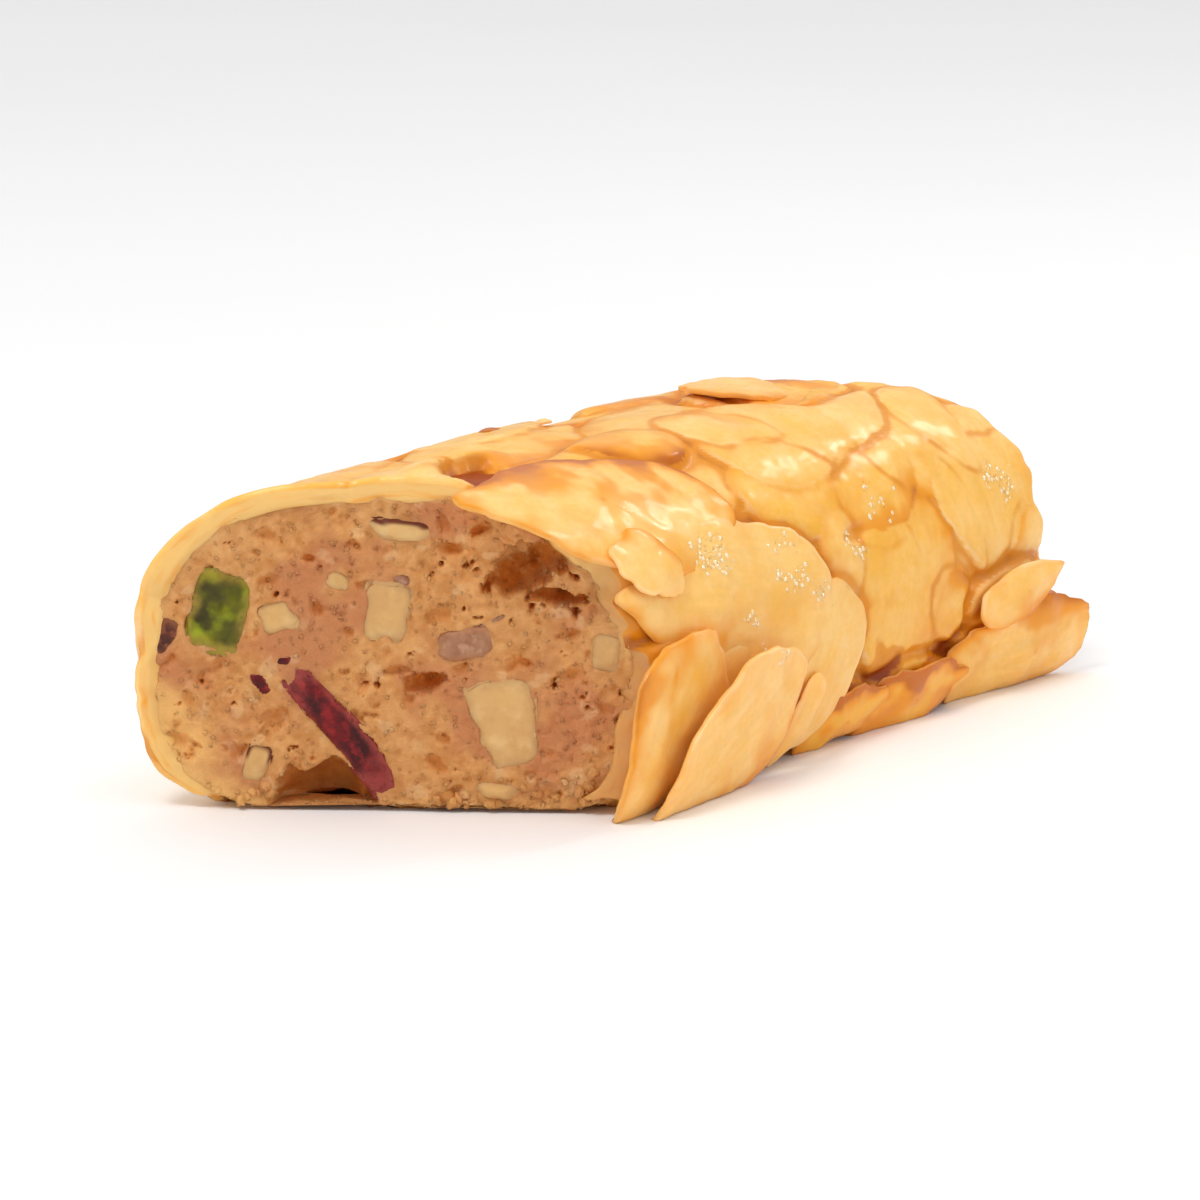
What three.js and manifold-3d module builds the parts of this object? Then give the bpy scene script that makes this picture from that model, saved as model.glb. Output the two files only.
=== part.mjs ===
// A fekkas: one thick slice of a baked almond log, cut on the slant at both ends. The dough holds almonds,
// candied fruit and dried cherry, which show at the two cuts. Flaked almonds, laid like shingles under a
// honey glaze, coat the top and the sides, and the slice lies on its flat baked base.
//
// Frame: millimetres, +Z up, origin on the base below the middle of the log, X along the log.
// The near cut, with the cherry strip, is at -X, and the far cut at +X. The shown long side is -Y.

import * as THREE from "three";
import { mergeVertices } from "three/addons/utils/BufferGeometryUtils.js";
import Module from "manifold-3d";

// Driving dimensions of the slice.
const SLICE_LENGTH = 50; // along the log, from cut to cut
const NEAR_CUT_SLANT = 37.5; // degrees that the near cut is turned from square
const FAR_CUT_SLANT = 40; // degrees that the far cut is turned from square
const LOG_HEIGHT = 25.1; // over the flaked almonds
const FRONT_HALF_WIDTH = 14.9; // on the -Y side, over the flaked almonds
const BACK_HALF_WIDTH = 15.9; // on the +Y side
const WIDEST_HEIGHT = 8.2; // height at which the log is widest
const COAT_DEPTH = 1.2; // of the flaked almonds over the dough
const BASE_SINK = 0.8; // depth of the round underside that baking pressed flat

// How square the cross-section is: 2 is an ellipse, and more is squarer.
const SQUARENESS = { topFront: 2.4, topBack: 2.8, lowFront: 4, lowBack: 2.6 };

// Flaked almonds.
const FLAKE_THICKNESS = 1.1; // of a loose one, in its middle
const FLAKE_RIM_DROP = 0.3; // from the middle of a flake's upper face to its rim
const FLAKE_BED = 1.1; // how far a bedded flake reaches into the dough
const FLAKE_SIDES = 12;
const FLAKE_RINGS = [0.55, 1]; // shares of the outline's radius

// Plain flakes, which fill the coat between the shown ones.
const PLAIN_LENGTH = [15, 22];
const PLAIN_WIDTH = [9, 12];
const PLAIN_SHIFT = 1.5; // furthest by chance from its place in the row
const PLAIN_ROWS = 9; // round the log
const FIRST_ROW = -33.4; // distance round from the crest to the lowest row on the +Y side
const ROW_STEP = 7.6; // between the rows
const COLUMN_STEP = 10; // between the flakes of a row
const ROW_STAGGER = 0.25; // share of a column's step that a row is shifted by
const NEAR_ROW_MARGIN = 4; // from the near cut to where a row starts
const FAR_ROW_MARGIN = 3; // from the far cut to where it ends
const SHADED_SIDE = 3; // rows further round than this lie lower, under the shown flakes
const SHOWN_CLEARANCE = 6.2; // from a plain flake's middle to the middle of a shown one
const PLAIN_SEED = 20;

// The dough's faceting, its unevenness, and the crumb of its cuts.
const SECTION_SIDES = 48;
const STATIONS = 9;
const CRUST_BUMP = 0.35;
const CUT_WIDTH = 30; // stretch of a cut over which its pits and raised crumbs are spread
const CUT_HEIGHTS = [2.5, 20];

// Pits and raised crumbs of a cut. sink is the depth of a lump's middle behind the cut.
const PITS = { count: 34, seed: 7, sink: 0, widths: [0.8, 2.4], heights: [0.8, 1.2] };
const GRITS = { count: 16, seed: 31, sink: 0.5, widths: [1.6, 3.2], heights: [1.6, 2] };
const LUMP_DEPTH = 2;

const PIECE_GAP = 0.3; // between an embedded piece and the dough round it
const PIECE_RECESS = 0.15; // of an embedded piece's face behind the cut
const PIECE_FLOOR = 0.5; // lowest height that an embedded piece reaches
const TRIM_MARGIN = 0.4; // how far the coat stands out past the dough at a cut
const NORMAL_REACH = 1.5; // half the stretch over which the section's direction is averaged
const REACH = 120; // wider than the slice, for trimming
const SMALLEST_STEP = 0.04; // unevenness smaller than this is smoothed away
const MERGE_DISTANCE = 0.002; // points nearer than this are one

const RAD = Math.PI / 180;
const TURN = 2 * Math.PI;
const NEAR = { slant: NEAR_CUT_SLANT * RAD, inward: 1, middle: -SLICE_LENGTH / 2 };
const FAR = { slant: FAR_CUT_SLANT * RAD, inward: -1, middle: SLICE_LENGTH / 2 };

const wasm = await Module();
wasm.setup();

const cutX = (cut, y) => cut.middle - Math.tan(cut.slant) * y;

// Evenly spread numbers from 0 to 1 that are the same in every run.
function randomSource(seed) {
  let state = seed;
  return () => {
    state = (Math.imul(state, 1664525) + 1013904223) >>> 0;
    return state / 4294967296;
  };
}

const between = (random, [low, high]) => low + (high - low) * random();

// Soft unevenness from -1 to 1 at a point, as a sum of crossed waves.
function unevenness({ x, y, z }) {
  const wave = (k, a, b, c) => Math.sin(k * (a * x + b * y + c * z) + 7 * a + 3 * b);
  return (wave(0.55, 0.8, 0.5, 0.3) + wave(0.9, -0.4, 0.7, 0.6) + wave(1.6, 0.5, -0.6, 0.7)) / 3;
}

// ---- The log's cross-section ----

// The point of the section at an angle about its widest height, drawn in by inset.
function sectionPoint(angle, inset) {
  const [c, s] = [Math.cos(angle), Math.sin(angle)];
  const front = c < 0;
  const low = s < 0;
  const power = 2 / SQUARENESS[(low ? "low" : "top") + (front ? "Front" : "Back")];
  const halfWidth = (front ? FRONT_HALF_WIDTH : BACK_HALF_WIDTH) - inset;
  const reach = low ? WIDEST_HEIGHT + BASE_SINK : LOG_HEIGHT - WIDEST_HEIGHT - inset;
  const y = Math.sign(c) * halfWidth * Math.abs(c) ** power;
  const z = WIDEST_HEIGHT + Math.sign(s) * reach * Math.abs(s) ** power;
  return [y, Math.max(z, 0)];
}

// The dough's outline, measured from the crest and counted positive down the -Y side.
function measureOutline(steps = 720) {
  const points = [];
  for (let i = 0; i <= steps; i++) {
    points.push(sectionPoint(TURN / 4 + (i / steps) * TURN, COAT_DEPTH));
  }
  const lengths = [0];
  for (let i = 1; i <= steps; i++) {
    const [a, b] = [points[i - 1], points[i]];
    lengths.push(lengths[i - 1] + Math.hypot(b[0] - a[0], b[1] - a[1]));
  }
  return { points, lengths, girth: lengths[steps] };
}

const outline = measureOutline();

function outlinePoint(along) {
  const { points, lengths, girth } = outline;
  const want = ((along % girth) + girth) % girth;
  let i = 1;
  while (lengths[i] < want) i++;
  const share = (want - lengths[i - 1]) / (lengths[i] - lengths[i - 1] || 1);
  const [a, b] = [points[i - 1], points[i]];
  return [a[0] + (b[0] - a[0]) * share, a[1] + (b[1] - a[1]) * share];
}

// Where the dough's surface is at x and a distance round from the crest, with its two directions.
function surfaceAt(x, along) {
  const [y, z] = outlinePoint(along);
  const before = outlinePoint(along - NORMAL_REACH);
  const after = outlinePoint(along + NORMAL_REACH);
  const round = new THREE.Vector3(0, after[0] - before[0], after[1] - before[1]).normalize();
  const out = new THREE.Vector3(0, round.z, -round.y);
  return { point: new THREE.Vector3(x, y, z), round, out };
}

// ---- Solids and meshes ----

function solidOf({ vertices, triangles }) {
  const vertProperties = new Float32Array(vertices.flatMap((v) => v.toArray()));
  const triVerts = new Uint32Array(triangles.flat());
  return new wasm.Manifold(new wasm.Mesh({ numProp: 3, vertProperties, triVerts }));
}

function geometryOf(solid) {
  const mesh = solid.getMesh();
  const geometry = new THREE.BufferGeometry();
  geometry.setAttribute("position", new THREE.BufferAttribute(mesh.vertProperties, mesh.numProp));
  geometry.setIndex(new THREE.BufferAttribute(mesh.triVerts, 1));
  return geometry;
}

// A geometry as vertices and triangles, its doubled corners made one.
function shapeOf(geometry) {
  const bare = new THREE.BufferGeometry();
  bare.setAttribute("position", geometry.getAttribute("position"));
  bare.setIndex(geometry.getIndex());
  const merged = mergeVertices(bare, MERGE_DISTANCE);
  const position = merged.getAttribute("position");
  const vertices = [];
  for (let i = 0; i < position.count; i++) {
    vertices.push(new THREE.Vector3().fromBufferAttribute(position, i));
  }
  const corners = merged.getIndex().array;
  const triangles = [];
  for (let i = 0; i < corners.length; i += 3) triangles.push([...corners.slice(i, i + 3)]);
  return { vertices, triangles };
}

// A solid between two discs of rings that share a rim.
// place(share, angle, side) gives a point of the disc at the top (side 1) or underside (side -1).
function discSolid({ top, under, sides }, place) {
  const vertices = [];
  const triangles = [];
  const rims = {};
  for (const [side, rings] of [[1, top], [-1, under]]) {
    const middle = vertices.length;
    vertices.push(place(0, 0, side));
    for (const ring of rings) {
      for (let i = 0; i < sides; i++) vertices.push(place(ring, (i / sides) * TURN, side));
    }
    const face = (a, b, c) => triangles.push(side > 0 ? [a, c, b] : [a, b, c]);
    const at = (r, i) => middle + 1 + r * sides + (i % sides);
    for (let i = 0; i < sides; i++) {
      face(middle, at(0, i), at(0, i + 1));
      for (let r = 1; r < rings.length; r++) {
        face(at(r - 1, i), at(r, i), at(r, i + 1));
        face(at(r - 1, i), at(r, i + 1), at(r - 1, i + 1));
      }
    }
    rims[side] = (i) => at(rings.length - 1, i);
  }
  for (let i = 0; i < sides; i++) {
    triangles.push([rims[1](i), rims[1](i + 1), rims[-1](i + 1)]);
    triangles.push([rims[1](i), rims[-1](i + 1), rims[-1](i)]);
  }
  return solidOf({ vertices, triangles });
}

// A rounded lump: a ball pushed towards a box by blockiness, made uneven, bent up in its middle,
// widened towards its top by taper, and stretched to size.
function lump({ size, blockiness = 0.4, uneven = 0.1, bend = 0, taper = 0, detail = 1, seed = 1 }) {
  const shape = shapeOf(new THREE.IcosahedronGeometry(1, detail));
  const random = randomSource(seed);
  for (const p of shape.vertices) {
    const widest = Math.max(Math.abs(p.x), Math.abs(p.y), Math.abs(p.z));
    p.multiplyScalar(1 + blockiness * (1 / widest - 1));
    p.multiplyScalar(1 + uneven * (2 * random() - 1));
    p.z += bend * (1 - p.y * p.y);
    p.y *= 1 + taper * p.z;
    p.multiply(new THREE.Vector3(...size).divideScalar(2));
  }
  return shape;
}

// ---- The dough ----

// A crust point: i sides round from the crest, at a station between the cuts, bumpy where it isn't flat.
function crustPoint(station, i) {
  const around = (i / SECTION_SIDES) * outline.girth;
  const { point, out } = surfaceAt(0, around);
  const share = station / (STATIONS - 1);
  point.x = THREE.MathUtils.lerp(cutX(NEAR, point.y), cutX(FAR, point.y), share);
  const atCut = station === 0 || station === STATIONS - 1;
  if (!atCut && point.z > 0) point.addScaledVector(out, CRUST_BUMP * unevenness(point));
  point.z = Math.max(point.z, 0);
  return point;
}

// The log of dough between its two flat, slanted cuts.
function makeDough() {
  const vertices = [];
  const triangles = [];
  const at = (station, i) => station * SECTION_SIDES + (i % SECTION_SIDES);
  for (let station = 0; station < STATIONS; station++) {
    for (let i = 0; i < SECTION_SIDES; i++) vertices.push(crustPoint(station, i));
  }
  for (const cut of [NEAR, FAR]) {
    vertices.push(new THREE.Vector3(cutX(cut, 0), 0, WIDEST_HEIGHT));
  }
  const [nearMiddle, farMiddle] = [vertices.length - 2, vertices.length - 1];
  for (let i = 0; i < SECTION_SIDES; i++) {
    for (let k = 0; k + 1 < STATIONS; k++) {
      triangles.push([at(k, i), at(k, i + 1), at(k + 1, i + 1)]);
      triangles.push([at(k, i), at(k + 1, i + 1), at(k + 1, i)]);
    }
    triangles.push([nearMiddle, at(0, i + 1), at(0, i)]);
    triangles.push([farMiddle, at(STATIONS - 1, i), at(STATIONS - 1, i + 1)]);
  }
  return solidOf({ vertices, triangles });
}

// ---- Flaked almonds ----

// A flake lies with its middle at x along the log and `along` round from the crest. Its turn is in
// degrees from +X towards the base, and rest is the height of its middle over the dough. tip and edge
// are how far its pointed end and one long edge stand up, grip is how far it follows the dough's curve,
// and snap is the share of its pointed half that is left. A loose flake is a thin leaf that sticks out.
function flake(x, along, length, width, turn, rest, details = {}) {
  const whole = { tip: 0, edge: 0, curl: 0, grip: 0.9, snap: 1, phase: 0, loose: false };
  return { x, along, length, width, turn, rest, ...whole, ...details };
}

// The flakes of the shown side, of the crest and of the near cut's rim, each where it lies.
const SHOWN_FLAKES = [
  // round the rim of the near cut, from the +Y base up to the crest
  flake(-31.5, -27, 15, 9, 80, 0.8, { phase: 2 }),
  flake(-32.5, -17, 17, 10, 96, 1.1, { phase: 6 }),
  flake(-31, -9, 16, 9, 60, 0.9, { phase: 5 }),
  flake(-28, 2.5, 17, 9, 168, 1.1, { phase: 1 }),
  // along the crest
  flake(-22, -4, 18, 9, 28, 0.8, { phase: 2 }),
  flake(-10, -3.2, 19, 9.5, -6, 1.1, { edge: -0.4, phase: 3 }),
  flake(2.5, 0.6, 16, 10, 172, 1, { phase: 4 }),
  flake(15.6, -1.6, 10, 7, 200, 1.3, { tip: -0.8, phase: 6 }),
  flake(20.6, 0.4, 13, 8, 10, 1.5, { edge: 0.3, phase: 1 }),
  // the large one over the near cut, the round one below it and the small crumpled one between them
  flake(-13.4, 9.2, 25, 11.2, 196, 1.7, { edge: -0.3, phase: 4, loose: true }),
  flake(-4.6, 18, 24, 12.2, 190, 1.3, { phase: 5, loose: true }),
  flake(-12.4, 14.8, 7.5, 4.4, 18, 1.9, { phase: 6, loose: true }),
  // two leaves that open like a book at the lower corner of the near cut
  flake(-9, 26.2, 15, 10, 130, 1.8, { edge: 0.8, grip: 0.5, phase: 1, loose: true }),
  flake(-5.8, 27.6, 18.5, 8, 158, 2.6, { edge: 1.2, tip: 0.6, grip: 0.4, phase: 2, loose: true }),
  // the upright one behind them, with a sliver and a toasted bit at its foot
  flake(5, 25.6, 15.5, 9.5, 128, 1.7, { edge: -0.6, grip: 0.7, phase: 3 }),
  flake(2.7, 28.2, 7, 2.6, 126, 2.3, { phase: 4 }),
  flake(9.8, 29.6, 10, 5, -16, 1.2, { edge: 0.5, grip: 0.5, phase: 5 }),
  // down the side
  flake(17, 21.8, 17.5, 14, 98, 1.1, { phase: 6 }),
  flake(30.4, 16.6, 17, 13, 74, 1.3, { phase: 2 }),
  flake(23.8, 18, 15, 8, 60, 0.5, { phase: 3 }),
  // the bar and the toasted ones at the foot of the side, towards the far cut
  flake(31.2, 23.6, 11.5, 4, -12, 2.4, { edge: 0.6, phase: 4, loose: true }),
  flake(33, 28.4, 20, 8.6, -5, 1.4, { tip: 1.8, grip: 0.6, snap: 0.72, phase: 5, loose: true }),
  flake(18.6, 29.6, 13, 5.5, -10, 1.7, { edge: 0.6, grip: 0.4, phase: 6, loose: true }),
  // between the crest and the side
  flake(11.4, 6.8, 20, 10.5, 4, 1.4, { phase: 1 }),
  flake(8.4, 12.2, 15, 8, 16, 0.9, { phase: 2 }),
  flake(17.6, 12.6, 13, 8, -28, 0.7, { phase: 3 }),
  flake(24, 10.6, 15, 10, 24, 1.1, { phase: 4 }),
  flake(29.5, 6, 16, 10, 40, 0.7, { phase: 5 }),
];

// A plain flake with its size, turn and lie drawn by chance round the place that its row gives it.
function plainFlake(x, along, random) {
  const spread = [-PLAIN_SHIFT, PLAIN_SHIFT];
  const [dx, dAlong] = [between(random, spread), between(random, spread)];
  const [length, width] = [between(random, PLAIN_LENGTH), between(random, PLAIN_WIDTH)];
  const turn = between(random, [0, 360]);
  const rest = between(random, along > SHADED_SIDE ? [0.1, 0.9] : [0.5, 1.3]);
  return flake(x + dx, along + dAlong, length, width, turn, rest, {
    tip: between(random, [-0.2, 0.4]),
    edge: between(random, [-0.2, 0.4]),
    curl: between(random, [0, 0.3]),
    grip: between(random, [0.8, 1]),
    snap: random() < 0.25 ? 0.6 : 1,
    phase: between(random, [0, 6]),
  });
}

// Staggered rows of plain flakes, without those that would lie under a shown one.
function plainFlakes() {
  const random = randomSource(PLAIN_SEED);
  const flakes = [];
  for (let row = 0; row < PLAIN_ROWS; row++) {
    const along = FIRST_ROW + row * ROW_STEP;
    const [y] = outlinePoint(along);
    const [first, last] = [cutX(NEAR, y) + NEAR_ROW_MARGIN, cutX(FAR, y) - FAR_ROW_MARGIN];
    const count = Math.round((last - first) / COLUMN_STEP) + 1;
    const shift = 0.5 + (row % 2 ? ROW_STAGGER : -ROW_STAGGER);
    for (let i = 0; i < count; i++) {
      flakes.push(plainFlake(first + ((last - first) * (i + shift)) / count, along, random));
    }
  }
  const distance = (a, b) => Math.hypot(a.x - b.x, a.along - b.along);
  const isClear = (plain) => SHOWN_FLAKES.every((shown) => distance(plain, shown) > SHOWN_CLEARANCE);
  return flakes.filter(isClear);
}

// The outline of a sliced almond: round at one end and pointed at the other, or snapped straight across.
function flakeOutline({ length, width, snap, phase }, angle, share) {
  const pointed = Math.abs(Math.sin(angle / 2)) ** 0.7 * 1.2;
  const wobble = 1 + 0.06 * Math.sin(3 * angle + phase) + 0.04 * Math.sin(5 * angle - phase);
  const p = (length / 2) * Math.cos(angle) * share;
  const q = (width / 2) * Math.sin(angle) * pointed * wobble * share;
  return [Math.min(p, (snap * length) / 2), q];
}

// The height of a flake's upper face over the dough: how it lies, tips, turns up an edge and curls.
function flakeHeight({ length, width, rest, tip, edge, curl }, p, q, share) {
  const [a, b] = [length / 2, width / 2];
  const lift = rest + (tip * (p + a)) / (2 * a) + (edge * (q + b)) / (2 * b);
  return lift + curl * ((p / a) ** 2 + (q / b) ** 2) - FLAKE_RIM_DROP * share * share;
}

// A point of a flake. Its upper face is draped on the dough as far as its grip goes. A bedded flake
// reaches down into the dough, and a loose one is a thin leaf.
function flakePoint(shape, share, angle, side) {
  const [p, q] = flakeOutline(shape, angle, share);
  const [c, s] = [Math.cos(shape.turn * RAD), Math.sin(shape.turn * RAD)];
  const [dx, around] = [p * c - q * s, p * s + q * c];
  const below = surfaceAt(shape.x + dx, shape.along + around);
  if (side < 0 && !shape.loose) return below.point.addScaledVector(below.out, -FLAKE_BED);
  const thickness = side < 0 ? FLAKE_THICKNESS * (1 - 0.4 * share) : 0;
  const height = flakeHeight(shape, p, q, share) - thickness;
  const middle = surfaceAt(shape.x, shape.along);
  const flat = middle.point.clone().addScaledVector(middle.round, around);
  flat.x += dx;
  flat.addScaledVector(middle.out, height);
  const draped = below.point.addScaledVector(below.out, height);
  return flat.lerp(draped, shape.grip);
}

function makeFlake(shape) {
  const under = shape.loose ? FLAKE_RINGS : [1];
  const place = (share, angle, side) => flakePoint(shape, share, angle, side);
  return discSolid({ top: FLAKE_RINGS, under, sides: FLAKE_SIDES }, place);
}

// ---- Pieces in the dough, and the pits and crags of the two cuts ----

// across is the distance along the cut from the log's middle, positive towards +Y, up is the height and
// turn is in degrees. size is the depth into the dough, the width along the cut, and the height.
function atCut(cut, across, up, turn, size, details = {}) {
  return { cut, across, up, turn, size, ...details };
}

const EMBEDDED = {
  green_fruit: atCut(NEAR, 12.9, 14.9, 14, [5, 4.4, 6.4], { blockiness: 0.5, kind: "green" }),
  red_fruit: atCut(NEAR, 4.4, 5.9, 51, [4.4, 12.6, 2.8], { blockiness: 0.45, bend: 0.25, kind: "red" }),
  raisin: atCut(NEAR, 17, 12.9, 30, [3, 2, 3.4], { blockiness: 0.3, kind: "raisin" }),
  almond_chunk: atCut(NEAR, -7.8, 6.7, -12, [5, 4.6, 7.4], { blockiness: 0.7, taper: 0.3 }),
  almond_crescent: atCut(NEAR, -0.5, 21.3, 6, [5, 5.2, 1.9], { blockiness: 0.1, bend: -0.4 }),
  almond_cube: atCut(NEAR, 0.8, 14.9, 8, [4, 3.6, 4.6], { blockiness: 0.6 }),
  almond_side: atCut(NEAR, -15, 12.2, 10, [3.4, 2.4, 3.4]),
  almond_left: atCut(NEAR, 8.6, 14.5, -20, [3.4, 3, 2.6], { blockiness: 0.5 }),
  almond_shard: atCut(NEAR, 10.4, 3.4, 18, [3.4, 2, 3.8], { blockiness: 0.5 }),
  skinned_nut: atCut(NEAR, -4.9, 12.6, -12, [4, 4.6, 2.6], { blockiness: 0.3, kind: "nut" }),
  green_fruit_far: atCut(FAR, -7.5, 9.5, 24, [5, 5, 6], { blockiness: 0.5, kind: "green" }),
  red_fruit_far: atCut(FAR, 8.6, 12, -35, [4.4, 8.5, 3], { kind: "red" }),
  almond_far_round: atCut(FAR, 1, 16.2, 12, [6, 8.4, 5.4], { blockiness: 0.15 }),
  almond_far_cube: atCut(FAR, 2.6, 6.2, 20, [4.4, 4.6, 4], { blockiness: 0.6 }),
  almond_far_shard: atCut(FAR, -11.4, 16.4, 40, [3.6, 3, 4.6], { blockiness: 0.5 }),
};

const CRAGS = [
  atCut(NEAR, -9.2, 18.2, -28, [6, 6.4, 3.4]), // the torn hollow under the crest
  atCut(NEAR, -11.4, 16.2, 8, [5, 3.4, 1.4]), // the slit below it
  atCut(NEAR, -2, 9.7, -12, [3.4, 3.6, 1.6]),
  atCut(NEAR, 5.2, 0.8, 8, [9, 6.4, 5.6]), // the notch in the base
  atCut(NEAR, -18, 8.4, 60, [3, 3, 1.6]),
  atCut(FAR, -2, 12, 30, [5, 5, 2.4]),
  atCut(FAR, 11, 6, -40, [5, 4, 2]),
  atCut(FAR, 7, 18.4, 20, [4, 4.6, 2]),
];

const MATERIALS = {
  crust: { color: 0xd9a04f, roughness: 0.35 },
  green: { color: 0x7d8f1c, roughness: 0.25 },
  red: { color: 0x7a1420, roughness: 0.4 },
  raisin: { color: 0x4a2015, roughness: 0.5 },
  almond: { color: 0xe6c48c, roughness: 0.5 },
  nut: { color: 0xa8745c, roughness: 0.6 },
};

// Where a piece's own middle and axes are: x into the dough, y along the cut and z up.
function placeOf({ cut, across, up, turn, sink = 0 }) {
  const y = across * Math.cos(cut.slant);
  const inwards = new THREE.Vector3(Math.cos(cut.slant), Math.sin(cut.slant), 0);
  const middle = new THREE.Vector3(cutX(cut, y), y, up);
  middle.addScaledVector(inwards, cut.inward * sink);
  const place = new THREE.Matrix4().makeRotationZ(cut.slant);
  place.multiply(new THREE.Matrix4().makeRotationX(turn * RAD));
  return place.setPosition(middle);
}

function placedLump(piece, seed, grow = 0) {
  const shape = lump({ ...piece, seed, size: piece.size.map((n) => n + 2 * grow) });
  const place = placeOf(piece);
  for (const p of shape.vertices) p.applyMatrix4(place);
  return solidOf(shape);
}

// Small lumps spread over a cut by chance: pits to take away, or crumbs that stand out.
function scatteredLumps(cut, { count, seed, sink, widths, heights }) {
  const random = randomSource(seed);
  const lumps = [];
  for (let i = 0; i < count; i++) {
    const across = between(random, [-CUT_WIDTH / 2, CUT_WIDTH / 2]);
    const up = between(random, CUT_HEIGHTS);
    const turn = between(random, [0, 180]);
    const size = [LUMP_DEPTH, between(random, widths), between(random, heights)];
    lumps.push(placedLump(atCut(cut, across, up, turn, size, { sink, detail: 0, uneven: 0.2 }), i));
  }
  return lumps;
}

// ---- Joining ----

// Everything over a floor and between the two cuts, each moved out by margin.
function sliceSpace(margin, floor) {
  const shape = shapeOf(new THREE.BoxGeometry(2, REACH, REACH));
  for (const p of shape.vertices) {
    p.z += REACH / 2 + floor;
    p.x = p.x < 0 ? cutX(NEAR, p.y) - margin : cutX(FAR, p.y) + margin;
  }
  return solidOf(shape);
}

function aboveFloor() {
  const box = new THREE.BoxGeometry(REACH, REACH, REACH);
  return solidOf(shapeOf(box.translate(0, 0, REACH / 2)));
}

const joined = (solids) => solids.reduce((sum, solid) => sum.add(solid));

const largestBody = (solid) =>
  solid.decompose().reduce((best, body) => (body.volume() > best.volume() ? body : best));

// The one closed body of a solid, its shortest edges closed up, without sealed hollows or slivers.
function wholeBody(solid) {
  const smoothed = largestBody(solid.simplify(SMALLEST_STEP));
  return largestBody(solidOf(shapeOf(geometryOf(smoothed))));
}

// The dough with its crumb, crags and coat, and with a pocket for each embedded piece.
function makeBiscuit() {
  const flakes = [...plainFlakes(), ...SHOWN_FLAKES];
  const bedded = flakes.filter((shape) => !shape.loose).map(makeFlake);
  const loose = flakes.filter((shape) => shape.loose).map(makeFlake);
  const grits = [NEAR, FAR].flatMap((cut) => scatteredLumps(cut, GRITS));
  const pits = [NEAR, FAR].flatMap((cut) => scatteredLumps(cut, PITS));
  const crags = CRAGS.map((crag, i) => placedLump(crag, i));
  const pockets = Object.values(EMBEDDED).map((piece, i) => placedLump(piece, i, PIECE_GAP));
  return makeDough()
    .add(joined(grits))
    .subtract(joined([...crags, ...pits]))
    .add(joined(bedded).intersect(sliceSpace(TRIM_MARGIN, 0)))
    .add(joined(loose).intersect(aboveFloor()))
    .subtract(joined(pockets));
}

// ---- The scene graph ----

// A mesh of a solid, its geometry about the middle and axes that place gives.
function meshOf(name, solid, kind, place = new THREE.Matrix4()) {
  const geometry = geometryOf(wholeBody(solid)).applyMatrix4(place.clone().invert());
  geometry.computeVertexNormals();
  const material = new THREE.MeshStandardMaterial({ ...MATERIALS[kind], metalness: 0 });
  const mesh = new THREE.Mesh(geometry, material);
  mesh.name = name;
  mesh.applyMatrix4(place);
  return mesh;
}

function makeFekkas() {
  const slice = new THREE.Group();
  slice.add(meshOf("biscuit", makeBiscuit(), "crust"));
  const inDough = sliceSpace(-PIECE_RECESS, PIECE_FLOOR);
  Object.entries(EMBEDDED).forEach(([name, piece], i) => {
    const solid = placedLump(piece, i).intersect(inDough);
    slice.add(meshOf(name, solid, piece.kind ?? "almond", placeOf(piece)));
  });
  return slice;
}

export default makeFekkas();
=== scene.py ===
"""A slice of a baked almond log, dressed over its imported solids.

The coat of flaked almonds with its honey glaze, the leaves that stand clear of it, the crumb of the two
slanted cuts, and each piece of fruit and nut in it get their fine shape and their finish here. Shapes are
worked out in millimetres, in the frame of the solids, and are written to the meshes in metres.
"""

import logging
import math
from collections.abc import Sequence
from dataclasses import dataclass, replace
from enum import Enum
from functools import cached_property
from itertools import product

import bmesh
import bpy
import numpy as np
from bpy.types import Material, NodeTree, Object
from bpy.types import NodeSocket as Socket
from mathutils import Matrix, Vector


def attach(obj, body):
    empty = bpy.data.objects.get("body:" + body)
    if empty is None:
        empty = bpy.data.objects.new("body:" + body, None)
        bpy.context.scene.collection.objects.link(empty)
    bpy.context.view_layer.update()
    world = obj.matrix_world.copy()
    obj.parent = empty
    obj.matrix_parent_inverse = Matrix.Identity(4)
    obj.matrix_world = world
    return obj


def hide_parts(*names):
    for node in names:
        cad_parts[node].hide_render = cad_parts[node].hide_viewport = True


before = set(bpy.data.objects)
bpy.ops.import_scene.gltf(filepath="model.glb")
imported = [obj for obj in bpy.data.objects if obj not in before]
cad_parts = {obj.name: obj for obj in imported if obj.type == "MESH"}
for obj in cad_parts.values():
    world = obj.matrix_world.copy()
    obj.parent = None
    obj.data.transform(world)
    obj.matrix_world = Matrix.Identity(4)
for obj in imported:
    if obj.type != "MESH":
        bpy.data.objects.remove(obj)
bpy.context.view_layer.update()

Array = np.ndarray
Marks = dict[str, Array]
Colour = tuple[float, float, float, float]

MM = 0.001
TURN = 2 * math.pi
BODY = "root"
NOWHERE = -9.0  # the depth of a hollow at places outside it
GLOW_SCALE = 1.5 * MM  # how far light goes into food
log = logging.getLogger("almond_slice")


# ---- Numbers and noise ----


def smoothstep(low: float, high: float, value: Array) -> Array:
    """Return 0 below low, 1 above high and a soft step between; low may be the greater."""
    share = np.clip((value - low) / (high - low), 0, 1)
    return share * share * (3 - 2 * share)


def greater(a: Array, b: Array, blend: float) -> Array:
    """Return the greater of two heights, with the corner between them rounded over blend."""
    return (a + b + np.sqrt((a - b) ** 2 + blend**2)) / 2


def stacked(*parts: Array | float) -> Array:
    """Return points from their coordinates, one array or number for each."""
    return np.stack(np.broadcast_arrays(*parts), axis=-1)


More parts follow.
